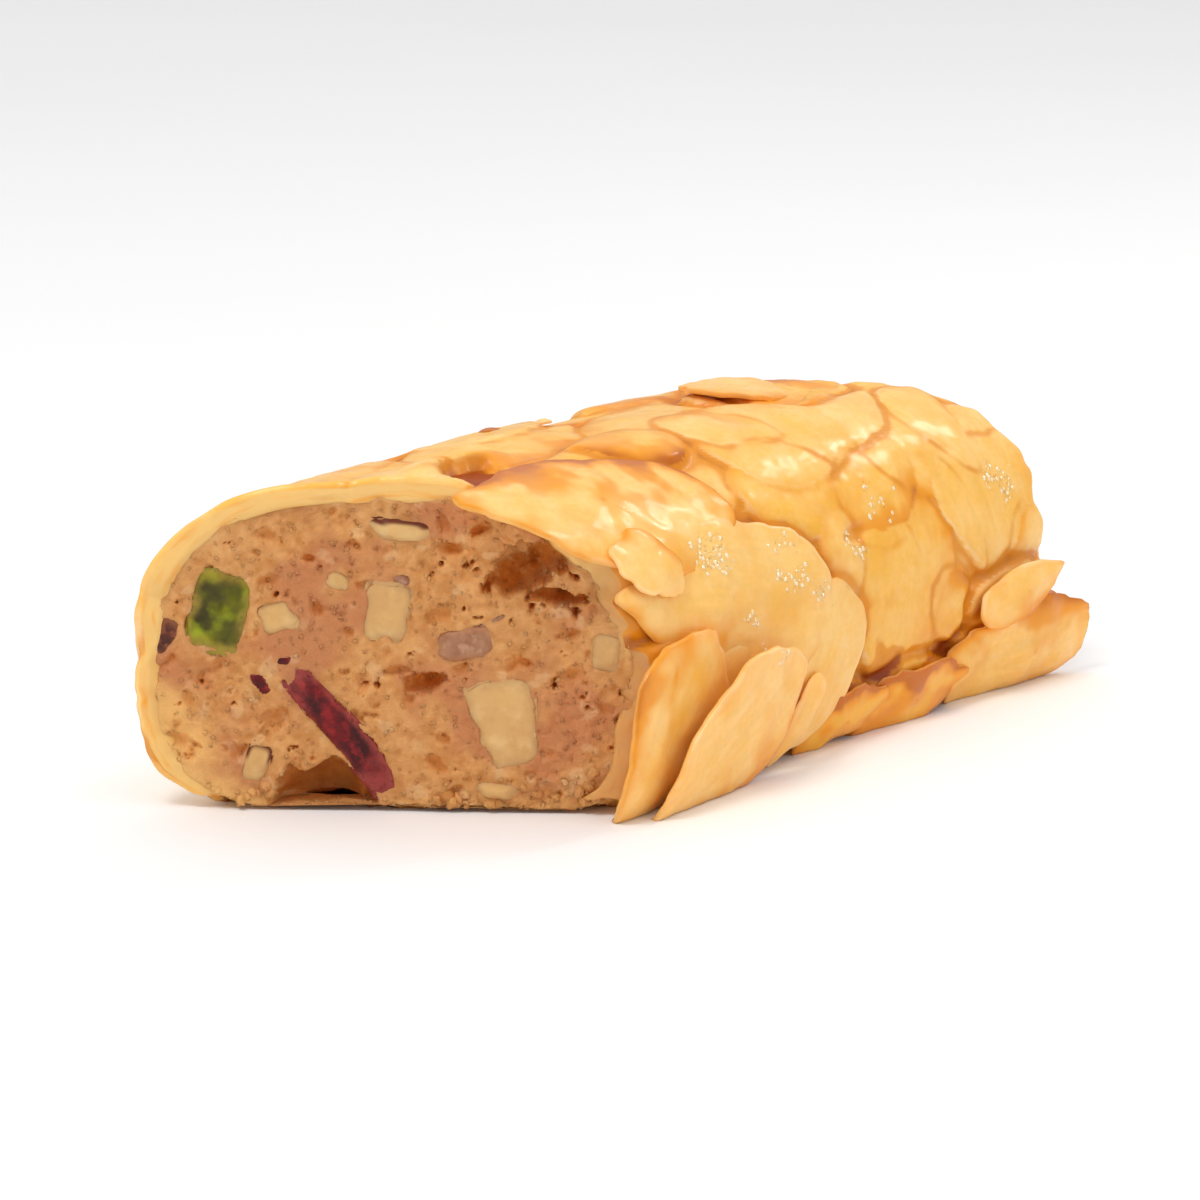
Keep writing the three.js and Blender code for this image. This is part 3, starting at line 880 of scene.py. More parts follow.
@dataclass(frozen=True)
class Flake:
    """One flaked almond, lying with its middle at x and `along`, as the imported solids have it.

    Its turn is in degrees from +X towards the base, and rest is the height of its middle over the dough.
    tip and edge are how far its pointed end and one long edge stand up, curl is how far its rim rises, grip
    is how far it follows the dough's curve, and snap is the share of its pointed half that is left. phase
    makes its outline its own and toast is how brown it is, more along the side that lean names, 1 or -1.
    tone is how golden it is, torn how ragged its outline, wave how high it swells, and petal is 1 where both
    its ends are pointed.
    """

    x: float
    along: float
    length: float
    width: float
    turn: float
    rest: float
    tip: float = 0.0
    edge: float = 0.0
    curl: float = 0.0
    grip: float = 0.9
    snap: float = 1.0
    phase: float = 0.0
    toast: float = 0.35
    tone: float = 0.5
    torn: float = 0.035
    wave: float = 0.26
    lean: float = 0.0
    petal: float = 0.0

    RIM_DROP = 0.3
    DRAPE = (-1.8, -0.9, 0, 0.9, 1.8)

    def browned(self, q: Array) -> Array:
        """Return how brown it is across its width: more along the edge that it leans to."""
        side = self.lean or math.copysign(0.6, math.sin(self.phase * 5))
        return self.toast * (0.45 + 1.2 * smoothstep(-0.3, 0.9, np.clip(q * 2 / self.width, -1, 1) * side))

    def rim(self, angle: Array) -> tuple[Array, Array]:
        """Return its outline, round at one end and pointed at the other, before it is snapped.

        Args:
            angle: Angles round it, in radians.

        Returns:
            The outline's points, along the flake and across it.
        """
        pointed = np.abs(np.sin(angle / 2)) ** 0.7 * 1.2
        pointed = pointed * (1 + self.petal * (1.15 * np.abs(np.cos(angle / 2)) ** 0.6 - 1))
        wobble = 1 + 0.06 * np.sin(3 * angle + self.phase) + 0.04 * np.sin(5 * angle - self.phase)
        return self.length / 2 * np.cos(angle), self.width / 2 * np.sin(angle) * pointed * wobble

    def share(self, p: Array, q: Array) -> Array:
        """Return how far out points lie, where 0 is its middle and 1 its outline.

        Args:
            p: Distances along the flake from its middle.
            q: Distances across it.

        Returns:
            One share for each point.
        """
        angle = np.linspace(-np.pi, np.pi, 361)
        rim_p, rim_q = self.rim(angle)
        a, b = self.length / 2, self.width / 2
        bearing = np.arctan2(rim_q / b, rim_p / a)
        reach = np.interp(np.arctan2(q / b, p / a), bearing, np.hypot(rim_p / a, rim_q / b))
        return np.hypot(p / a, q / b) / reach

    def height(self, p: Array, q: Array, share: Array) -> Array:
        """Return the height of its upper face over the dough: how it lies, tips and curls."""
        a, b = self.length / 2, self.width / 2
        lift = self.rest + self.tip * (p + a) / (2 * a) + self.edge * (q + b) / (2 * b)
        return lift + self.curl * ((p / a) ** 2 + (q / b) ** 2) - self.RIM_DROP * share**2

    def placed(self, form: LogForm, p: Array, q: Array, height: Array) -> Array:
        """Return points over the dough, where it grips draped over its curve and elsewhere flat.

        Args:
            form: The log.
            p: Distances along the flake.
            q: Distances across it.
            height: Heights over the dough.

        Returns:
            The points.
        """
        dx, around = turned(p, q, -self.turn)
        near = [form.surface(self.x + dx, self.along + around + shift) for shift in self.DRAPE]
        below, _, out = (sum(parts) / len(near) for parts in zip(*near))
        middle, round_, up = form.surface(self.x, self.along)
        flat = middle + round_ * around[..., None] + up * height[..., None]
        flat[..., 0] += dx
        draped = below + out * height[..., None]
        return flat + (draped - flat) * self.grip


def bedded_flakes() -> list[Flake]:
    """Return the flakes that lie in the glaze on the shown side, on the crest and round the near cut."""
    return [
        # round the rim of the near cut, from the +Y base up to the crest
        Flake(-31.5, -27, 15, 9, 80, 0.8, phase=2, tone=0.3),
        Flake(-32.5, -17, 17, 10, 96, 1.1, phase=6, tone=0.25),
        Flake(-31, -9, 16, 9, 60, 0.9, phase=5, tone=0.5, toast=0.5),
        Flake(-28, 2.5, 17, 9, 168, 1.1, phase=1, tone=0.15, toast=0.1),
        # along the crest
        Flake(-22, -4, 18, 9, 28, 0.8, phase=2, tone=0.5, toast=0.5),
        Flake(-10, -3.2, 19, 9.5, -6, 1.1, edge=-0.4, phase=3, tone=0.6),
        Flake(2.5, 0.6, 16, 10, 172, 1, phase=4, tone=0.45),
        # down the side
        Flake(17, 21.8, 17.5, 14, 98, 1.1, phase=6, tone=0.75, toast=0.35),
        Flake(30.4, 16.6, 17, 13, 74, 1.3, phase=2, tone=0.45, toast=0.15),
        Flake(23.8, 18, 15, 8, 60, 0.5, phase=3, tone=0.3, toast=0.2),
        # between the crest and the side
        Flake(11.4, 6.8, 20, 10.5, 4, 1.4, phase=1, tone=0.55, toast=0.3),
        Flake(8.4, 12.2, 15, 8, 16, 1.1, phase=2, tone=0.8, toast=0.5),
        Flake(17.6, 12.6, 13, 8, -28, 1.2, phase=3, tone=0.65, toast=0.5),
        Flake(24, 10.6, 15, 10, 24, 1.1, phase=4, tone=0.5, toast=0.3),
        Flake(29.5, 6, 16, 10, 40, 0.7, phase=5, tone=0.7, toast=0.4),
        # smaller ones between them
        Flake(5.5, 5.0, 10, 5.5, 30, 1.5, phase=2, tone=0.2, toast=0.3),
        Flake(19.5, 6.6, 11, 6, -20, 1.45, phase=5, tone=0.15, toast=0.25),
        Flake(27.5, 9.4, 10, 6.5, 70, 1.35, phase=1, tone=0.3, toast=0.2),
        Flake(10.2, 17.6, 8, 4.6, 80, 1.2, phase=3, tone=0.25, toast=0.3),
        Flake(-4.0, 3.6, 10, 5.5, 200, 1.3, phase=6, tone=0.7, toast=0.6),
        Flake(24.6, 24.4, 9, 5.4, 40, 1.15, phase=2, tone=0.5, toast=0.6),
        Flake(33.4, 21.0, 8, 5.0, 120, 1.3, phase=4, tone=0.2, toast=0.3),
    ]


def leaf_flakes() -> list[Flake]:
    """Return the flakes that show their whole crisp edge, so that each is a thin leaf of its own."""
    return [
        # the large one over the near cut, the round one below it and the small crumpled one between them
        Flake(-13.4, 9.2, 25, 11.2, 196, 1.7, edge=-0.3, phase=4, toast=0.6, tone=0.25, lean=1),
        Flake(-4.6, 18, 24, 12.2, 190, 1.5, phase=5, toast=0.28, tone=0.25, lean=-1, wave=0.34),
        Flake(-12.2, 14.6, 8.5, 4.4, 24, 1.9, edge=0.5, snap=0.6, phase=6, toast=0.3, tone=0.1,
              torn=0.2, wave=0.6),
        # two leaves that open like a book at the lower corner of the near cut
        Flake(-12.2, 26.2, 15.5, 12.5, 124, 1.7, edge=0.8, grip=0.6, phase=1, toast=0.3, tone=0.3, lean=1,
              petal=0.7),
        Flake(-6.2, 27.2, 19, 11, 154, 2.6, edge=1.2, tip=0.6, grip=0.45, phase=2, toast=0.28, tone=0.25,
              lean=-1, petal=0.9),
        # the upright one behind them, with a sliver and a toasted bit at its foot
        Flake(5, 25.6, 15.5, 9.5, 128, 1.7, edge=-0.6, grip=0.7, phase=3, toast=0.25, tone=0.12, wave=0.34),
        Flake(2.7, 28.2, 7, 2.6, 126, 2.3, phase=4, toast=0.1, tone=0.1, torn=0.1),
        Flake(9.8, 29.6, 10, 5, -16, 1.2, edge=0.5, grip=0.5, phase=5, toast=1.1, tone=1.0, torn=0.14,
              wave=0.5),
        # the bar and the toasted ones at the foot of the side, towards the far cut
        Flake(31.2, 23.6, 11.5, 4, -12, 2.4, edge=0.6, phase=4, toast=0.35, tone=0.3),
        Flake(33, 28.4, 20, 8.6, -5, 1.4, tip=1.8, grip=0.6, snap=0.72, phase=5, toast=0.5, tone=0.4,
              torn=0.07, wave=0.5),
        Flake(18.6, 29.6, 13, 5.5, -10, 1.7, edge=0.6, grip=0.4, phase=6, toast=1.15, tone=1.0, torn=0.16,
              wave=0.6),
        # the upright pale one and the pinkish one on the crest
        Flake(15.6, -1.6, 10, 7, 200, 1.25, tip=0.7, edge=0.2, snap=0.85, phase=6, toast=0.25, tone=0.2),
        Flake(20.6, 0.4, 13, 8, 10, 1.1, edge=-0.4, snap=0.8, phase=1, toast=0.9, tone=0.8),
    ]


def crest_crumbs() -> list[Flake]:
    """Return the dark crumb and the yellow one that sit on the crest's far edge."""
    return [
        Flake(-8.0, -6.0, 1.9, 1.7, 30, 0.0, grip=0.3, phase=2, toast=3.0, tone=1.0),
        Flake(-1.6, -6.2, 1.7, 1.5, 80, 0.0, grip=0.3, phase=4, toast=0.1, tone=0.4),
    ]


@dataclass(frozen=True)
class PlainRows:
    """The staggered rows of plain flakes that fill the coat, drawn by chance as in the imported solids."""

    length: tuple[float, float] = (15, 22)
    width: tuple[float, float] = (9, 12)
    shift: float = 1.5
    rows: int = 9
    first_row: float = -33.4
    row_step: float = 7.6
    column_step: float = 10.0
    stagger: float = 0.25
    near_margin: float = 4.0
    far_margin: float = 3.0
    shaded_side: float = 3.0
    clearance: float = 6.2
    seed: int = 20

    def flake(self, x: float, along: float, chance: Chance) -> Flake:
        """Return a flake near the place that its row gives it.

        Args:
            x: Places along the log.
            along: Distances round it.
            chance: What its lie and its size are drawn from.

        Returns:
            The flake.
        """
        dx, around = (chance.draw(-self.shift, self.shift) for _ in range(2))
        length, width = chance.draw(*self.length), chance.draw(*self.width)
        turn = chance.draw(0, 360)
        rest = chance.draw(*((0.1, 0.9) if along > self.shaded_side else (0.5, 1.3)))
        tip, edge, curl = chance.draw(-0.2, 0.4), chance.draw(-0.2, 0.4), chance.draw(0, 0.3)
        grip, snap = chance.draw(0.8, 1.0), 0.6 if chance.draw() < 0.25 else 1.0
        return Flake(x + dx, along + around, length, width, turn, rest, tip, edge, curl, grip, snap,
                     phase=chance.draw(0, 6))

    def flakes(self, form: LogForm, shown: Sequence[Flake]) -> list[Flake]:
        """Return the rows' flakes, without those that would lie under a shown one.

        Args:
            form: The log.
            shown: The flakes that need room.

        Returns:
            The plain flakes.
        """
        chance = Chance(self.seed)
        made = []
        for row in range(self.rows):
            along = self.first_row + row * self.row_step
            y = form.outline_point(np.array(along))[0]
            first = form.cut_x(End.NEAR, y) + self.near_margin
            last = form.cut_x(End.FAR, y) - self.far_margin
            count = math.floor((last - first) / self.column_step + 0.5) + 1
            shift = 0.5 + (self.stagger if row % 2 else -self.stagger)
            for i in range(count):
                made.append(self.flake(first + (last - first) * (i + shift) / count, along, chance))
        far = self.clearance
        return [f for f in made if all(math.hypot(f.x - s.x, f.along - s.along) > far for s in shown)]


# ---- The coat ----


@dataclass(frozen=True)
class Hollow:
    """A hole in the coat where honey shows, darkened with painted shade: its place, its two radii, its depth
    and the lip behind it.
    """

    x: float
    along: float
    radii: tuple[float, float]
    depth: float
    lip: float = 0.0


@dataclass
class CoatField:
    """Heights of the coat over the dough, on a grid laid round the log, with what a material needs."""

    form: LogForm
    step: float = 0.18
    margin: float = 4.0
    edge: float = 0.22
    wall_slope: float = 3.2
    under_rest: float = 0.12
    moat: float = 0.45
    support: float = 1.2
    # amber along the foot of each flake's step: pooled honey and partly a painted shadow line
    seam_honey_and_shade: float = 0.3
    bubble_patches: tuple[tuple[float, float, float], ...] = (
        (3.0, 16.6, 2.8), (-5.5, 15.2, 2.4), (-2.5, 21.0, 2.2), (12.0, 16.4, 2.2), (16.0, 14.2, 2.8),
        (31.0, 15.4, 2.6), (5.8, 19.6, 1.8),
    )
    seed: int = 5
    hollows: tuple[Hollow, ...] = (
        Hollow(-18.6, 1.6, (2.9, 2.0), 1.9, 0.8),
        Hollow(11.8, 16.0, (1.8, 0.6), 0.3),
    )

    def __post_init__(self) -> None:
        """Lay out the grid."""
        form = self.form
        reach = form.length / 2 + form.back_half_width * math.tan(form.slant(End.FAR)) + self.margin
        self.columns = int(round(form.girth / self.step))
        self.xs = np.arange(-reach, reach, self.step)
        self.alongs = np.arange(self.columns) * form.girth / self.columns - form.girth / 2
        shape = (len(self.xs), self.columns)
        self.height = np.full(shape, self.under_rest)
        self.syrup = np.zeros(shape)
        self.layers = {name: np.zeros(shape) for name in ("tone", "toast", "rim", "p", "q")}
        self.noise = Noise(self.seed)

    def lay(self, flake: Flake, sink: float = 0.0) -> None:
        """Lay a flake where it is higher than what lies there.

        Args:
            flake: The flake.
            sink: How far below its own height it lies.
        """
        reach = math.hypot(flake.length, flake.width) / 2 + self.edge
        rows = np.flatnonzero(np.abs(self.xs - flake.x) < reach)
        offsets = self.form.wrapped(self.alongs - flake.along)
        columns = np.flatnonzero(np.abs(offsets) < reach)
        if not len(rows) or not len(columns):
            return
        here = np.ix_(rows, columns)
        p, q = turned((self.xs[rows] - flake.x)[:, None], offsets[columns][None, :], flake.turn)
        share = flake.share(p, q)
        inside = (1 - share) * np.hypot(p, q) / np.maximum(share, 1e-6)
        inside = np.minimum(inside, flake.snap * flake.length / 2 - p)
        place = stacked(p, q, 11 * flake.phase)
        inside = inside + 0.16 * self.noise.fractal(place, 1.4)
        top = flake.height(p, q, np.minimum(share, 1)) - sink
        top = np.minimum(top, self.support) if sink else top
        top = top + 0.1 * self.noise.fractal(place, 3.2, 3)
        rounding = 1 - np.sqrt(1 - (1 - np.clip(inside / self.edge, 0, 1)) ** 2)
        top = top - self.edge * rounding + self.wall_slope * np.minimum(inside, 0)
        higher = (inside > -self.edge) & (top > self.height[here])
        self.height[here] = np.where(higher, top, self.height[here])
        if sink:
            moat = smoothstep(-1.8, -0.3, inside) * (inside < 0) * ~higher
            self.height[here] -= self.moat * moat
            self.syrup[here] = np.maximum(self.syrup[here] * ~higher, 0.14 * moat)
        else:
            # painted shadow line in part: amber along the foot of each flake's step, with honey run against it
            patchy = 0.42 + 1.1 * self.noise.fractal(place + 60, 4.0, 2)
            seam_honey_and_shade = smoothstep(-0.7, -0.1, inside) * (inside < 0) * ~higher * np.clip(patchy, 0.05, 1.2)
            self.syrup[here] = np.maximum(self.syrup[here] * ~higher, self.seam_honey_and_shade * seam_honey_and_shade)
        values = {"tone": flake.tone, "toast": flake.browned(q), "rim": np.maximum(inside, 0), "p": p, "q": q}
        for name, value in values.items():
            layer = self.layers[name]
            layer[here] = np.where(higher, value, layer[here])

    def glaze(self) -> None:
        """Run honey into the valleys: much of it on the crest, where the flakes drown, and less below. Its
        amber in the seams and valleys is partly pooled honey and partly painted shade, laid where the coat lies
        lower than round it.
        """
        on_top = smoothstep(20, 9, np.abs(self.alongs))[None, :]
        behind = smoothstep(-9, -12, self.alongs)[None, :]
        bare = softened(self.height, 0.16 / self.step)
        bare += (softened(self.height, 0.3 / self.step) - bare) * behind
        drowned = bare + (softened(bare, 0.22 / self.step) - bare) * 0.4 * on_top
        crisp = softened(bare, 0.25 / self.step) - 0.1
        pooled = softened(bare, 0.8 / self.step) - 0.1
        surface = greater(drowned, crisp + (pooled - crisp) * 0.6 * on_top, 0.08) - 0.03
        # painted shade in part: amber where the coat lies lower than round it, with honey pooled there
        line = np.maximum(softened(bare, 0.4 / self.step) - bare, 0)
        valley = 0.6 * np.maximum(softened(bare, 0.9 / self.step) - bare, 0) + 0.9 * line
        low = smoothstep(19, 28, np.abs(self.alongs))[None, :]
        spots = stacked(self.xs[:, None], self.alongs[None, :], 0.0)
        burnt = smoothstep(-0.1, 0.5, self.noise.fractal(spots, 3.0, 3)) * smoothstep(2, 14, self.xs)[:, None]
        valley = valley * (1.0 + 0.6 * on_top + 0.8 * low) + softened(self.syrup, 0.14 / self.step)
        widths = self.form.outline_point(self.alongs)[:, 0]
        from_cut = self.xs[:, None] - self.form.cut_x(End.NEAR, widths)[None, :]
        shoulder = smoothstep(5, 11, self.alongs) * smoothstep(30, 24, self.alongs)
        edge = 0.26 * smoothstep(3.4, 0.8, from_cut) * shoulder[None, :]
        valley = np.minimum(valley, 0.34 + 0.25 * on_top) + 0.5 * low * burnt + edge
        self.layers["glaze"] = np.maximum(valley, surface - bare)
        self.height = surface

    def hollow_out(self) -> None:
        """Sink the hollows, in which honey stands, and raise the lips behind them. The deep amber in them is
        partly the honey and partly painted shade.
        """
        for hollow in self.hollows:
            dx = (self.xs[:, None] - hollow.x) / hollow.radii[0]
            around = self.form.wrapped(self.alongs - hollow.along)[None, :] / hollow.radii[1]
            ragged = 0.4 * self.noise.fractal(stacked(dx, around, 0.0), 0.7)
            open_ = smoothstep(1.25, 0.75, np.hypot(dx, around) + ragged)
            ring = np.hypot(dx, around) + 0.3 * ragged
            behind = smoothstep(0.1, 0.9, -around) * smoothstep(2.3, 1.3, ring) * smoothstep(0.75, 1.2, ring)
            self.height += hollow.lip * behind - hollow.depth * open_
            # painted shade in part: deep amber in the hollow, with the honey standing there
            self.layers["glaze"] += 0.5 * hollow.depth * open_
        self.height = np.maximum(self.height, -0.1)

    def bubbles(self, x: Array, along: Array) -> Array:
        """Return how thick the patches of small honey bubbles are at places on the coat.

        Args:
            x: Places along the log.
            along: Distances round it.

        Returns:
            One share from 0 to 1 for each place.
        """
        patches = [smoothstep(r, 0.3 * r, np.hypot(x - px, along - pa)) for px, pa, r in self.bubble_patches]
        place = stacked(x, along, 0.0)
        clumps = smoothstep(-0.1, 0.45, self.noise.fractal(place + 90, 1.5, 2))
        return np.minimum(np.sum(patches, axis=0), 1) * clumps

    def read(self, layer: Array, x: Array, along: Array) -> Array:
        """Return a layer's values between its grid points.

        Args:
            layer: The layer, a value for each grid point.
            x: Places along the log.
            along: Distances round it.

        Returns:
            One value for each place.
        """
        r = np.clip((x - self.xs[0]) / self.step, 0, len(self.xs) - 1.001)
        c = (along + self.form.girth / 2) / self.form.girth * self.columns
        r0, c0 = np.floor(r).astype(int), np.floor(c).astype(int)
        fr, fc = r - r0, c - c0
        left, right = c0 % self.columns, (c0 + 1) % self.columns
        low = layer[r0, left] * (1 - fc) + layer[r0, right] * fc
        high = layer[r0 + 1, left] * (1 - fc) + layer[r0 + 1, right] * fc
        return low * (1 - fr) + high * fr


@dataclass(frozen=True)
class Band:
    """A stretch round the log and the step between the coat's points in it."""

    start: float
    stop: float
    step: float

    def places(self) -> Array:
        """Return the distances round the log of the band's points, without the last."""
        count = max(2, round((self.stop - self.start) / self.step))
        return np.linspace(self.start, self.stop, count, endpoint=False)


@dataclass
class Coat:
    """The coat: a closed tube of flaked almonds in honey, open at the two cuts, where its rind shows."""

    form: LogForm
    field_: CoatField
    crumb: "Crumb"
    stations: int = 242
    inner_stations: int = 12
    wall_rings: int = 7
    wall: float = 0.9
    base_wall: float = 0.45
    rim_round: float = 0.35
    bands: tuple[Band, ...] = (Band(-35, -9, 0.28), Band(-9, 33, 0.21))
    base_step: float = 0.6
    seed: int = 12

    def columns(self) -> Array:
        """Return the distances round the log of the coat's columns of points."""
        half = self.form.girth / 2
        before = Band(-half, self.bands[0].start, self.base_step)
        after = Band(self.bands[-1].stop, half, self.base_step)
        return np.concatenate([band.places() for band in (before, *self.bands, after)])

    def spot(self, share: Array, along: Array, lift: Array | None) -> tuple[Array, Array]:
        """Return points of the coat.

        Args:
            share: How far each lies from the near cut, 0, to the far cut, 1.
            along: The distance round the log of each.
            lift: Heights over the dough, or None for the coat's own outer face.

        Returns:
            The points, and the places along the log at which the coat was read.
        """
        form = self.form
        point, _, out = form.surface(np.zeros_like(along), along)
        noise = Noise(self.seed + 3)
        round_log = stacked(along, 0.0, 0.0)
        ends = []
        for i, end in enumerate(End):
            torn = (0.5 + 0.3 * i) * noise.fractal(round_log + 30 * i, 2.6, 3, 0.6)
            outside = form.inward(end) * form.trim_margin
            ends.append(form.cut_x(end, point[..., 1] + out[..., 1]) - outside + torn)
        x = ends[0] + (ends[1] - ends[0]) * share
        height = self.field_.read(self.field_.height, x, along) - self.rounded(share) if lift is None else lift
        moved = point + out * height[..., None]
        shift = moved[..., 1] - point[..., 1] - out[..., 1]
        length = ends[1] - ends[0]
        near = smoothstep(4, 0, share * length) * math.tan(form.slant(End.NEAR))
        far = smoothstep(4, 0, (1 - share) * length) * math.tan(form.slant(End.FAR))
        moved[..., 0] = x - shift * (near + far)
        return moved, x

    def rounded(self, share: Array) -> Array:
        """Return how far the outer face drops at its two ends, where the knife left a soft edge."""
        length = self.form.length + 2 * self.form.trim_margin
        inside = np.minimum(share, 1 - share) * length
        return self.rim_round * (1 - np.sqrt(1 - (1 - np.clip(inside / self.rim_round, 0, 1)) ** 2))

    def settled(self, points: Array) -> Array:
        """Return points kept on the floor, out of the notch and behind the torn foot of each cut.

        Args:
            points: The points, which are moved.

        Returns:
            The same points.
        """
        points[..., 2] = np.maximum(points[..., 2], 0)
        for end in End:
            across, up, depth = self.form.to_cut(end, points)
            noise = Noise(self.seed + 7 + self.form.inward(end))
            torn = noise.fractal(stacked(across, 0.0, 0.0), 1.5, 3)
            foot = (1.6 + 0.7 * torn) * smoothstep(1.2, 0.5, up) * smoothstep(18, 15.5, np.abs(across))
            want = np.maximum(self.crumb.notch(end, across, up), np.where(foot > 0.02, foot, NOWHERE))
            short = np.maximum(want - depth, 0)
            points += short[..., None] * self.form.cut_axes(end)[2]
        return points

    def outer_face(self, along: Array) -> tuple[Array, Marks]:
        """Return the points and marks of the outer face, a row for each station along the log.

        Args:
            along: The distances round the log of its columns.

        Returns:
            The points and their marks.
        """
        share = np.linspace(0, 1, self.stations)
        share, along = np.meshgrid(share, along, indexing="ij")
        points, x = self.spot(share, along, None)
        noise = Noise(self.seed)
        _, _, out = self.form.surface(x, along)
        wet = np.minimum(self.field_.read(self.field_.layers["glaze"], x, along) * 4 + 0.4, 1)
        ripple = 0.06 * noise.fractal(points, 1.3, 2) + 0.09 * np.abs(noise.fractal(points + 40, 2.6, 2))
        points += out * (wet * ripple)[..., None]
        layers = self.field_.layers
        marks = {name: self.field_.read(layers[name], x, along) for name in ("tone", "toast", "rim", "glaze")}
        p, q = (self.field_.read(layers[name], x, along) for name in ("p", "q"))
        flat = smoothstep(0.35, 0.05, points[..., 2])
        points[..., 2] += flat * 0.22 * np.maximum(noise.fractal(points, 2.2), 0)
        marks["base"] = flat
        marks["grain"] = stacked(p, q, marks["tone"] * 9)
        marks["bubbles"] = self.field_.bubbles(x, along)
        return self.settled(points), marks

    def end_wall(self, end: End, along: Array, outer: Array) -> tuple[Array, Array]:
        """Return the rind that the knife cut through, from the outer face inwards.

        Args:
            end: The cut.
            along: The distances round the log of its columns.
            outer: The points of the outer face at that cut.

        Returns:
            The wall's points, a row for each ring, and the depth of each below the outer face.
        """
        noise = Noise(self.seed + 1 + self.form.inward(end))
        point, _, out = self.form.surface(np.zeros_like(along), along)
        top = np.einsum("ij,ij->i", outer - point, out * np.array([0, 1, 1]))
        floor = -np.where(point[:, 2] < 0.4, self.base_wall, self.wall)
        rings, depths = [], []
        for ring in range(1, self.wall_rings + 1):
            share = ring / self.wall_rings
            lift = top + (floor - top) * share
            spots, _ = self.spot(np.full_like(along, 0.0 if end is End.NEAR else 1.0), along, lift)
            place = stacked(along, lift * 3.5, 4.0)
            ragged = 0.02 + 0.14 * noise.fractal(place, 1.7) + 0.22 * share**3
            spots += np.maximum(ragged, 0)[:, None] * self.form.cut_axes(end)[2]
            rings.append(self.settled(spots))
            depths.append(top - lift)
        return np.stack(rings), np.stack(depths)

    def inner_face(self, along: Array) -> Array:
        """Return the points of the inner face between the two walls' last rings.

        Args:
            along: The distances round the log of its columns.

        Returns:
            The points, a row for each station.
        """
        share = np.linspace(0, 1, self.inner_stations + 2)[1:-1]
        share, around = np.meshgrid(share, along, indexing="ij")
        point = self.form.surface(np.zeros_like(along), along)[0]
        floor = -np.where(point[:, 2] < 0.4, self.base_wall, self.wall)
        return self.spot(share, around, np.broadcast_to(floor, share.shape))[0]

    def build(self) -> Object:
        """Make the coat's mesh, one closed tube.

        Returns:
            The coat.
        """
        along = self.columns()
        outer, marks = self.outer_face(along)
        near, near_depth = self.end_wall(End.NEAR, along, outer[0])
        far, far_depth = self.end_wall(End.FAR, along, outer[-1])
        inner = self.inner_face(along)
        rows = np.concatenate([outer, far, inner[::-1], near[::-1]])
        count, columns = rows.shape[:2]
        faces = grid_faces(count, columns, closed=True).tolist()
        last = (count - 1) * columns
        for c in range(columns):
            after = (c + 1) % columns
            faces.append([last + c, last + after, after, c])
        hidden = count - len(outer)
        full = {name: np.concatenate([v, np.repeat(v[-1:], hidden, axis=0)]) for name, v in marks.items()}
        for mark, share in (("base", 0.7), ("glaze", 0.0), ("bubbles", 0.0)):
            full[mark][len(outer) :] *= share
        cut, depth = np.zeros((count, columns)), np.zeros((count, columns))
        cut[len(outer) : len(outer) + len(far)] = 1.0
        depth[len(outer) : len(outer) + len(far)] = far_depth
        cut[-len(near) :] = 1.0
        depth[-len(near) :] = near_depth[::-1]
        full["cut"] = cut
        full["layer"] = stacked(along, depth, cut)
        flat = {n: v.reshape(-1, 3) if v.ndim == 3 else v.ravel() for n, v in full.items()}
        return mesh_object("coat", rows.reshape(-1, 3), faces, flat)


# ---- Leaves that stand clear of the coat ----


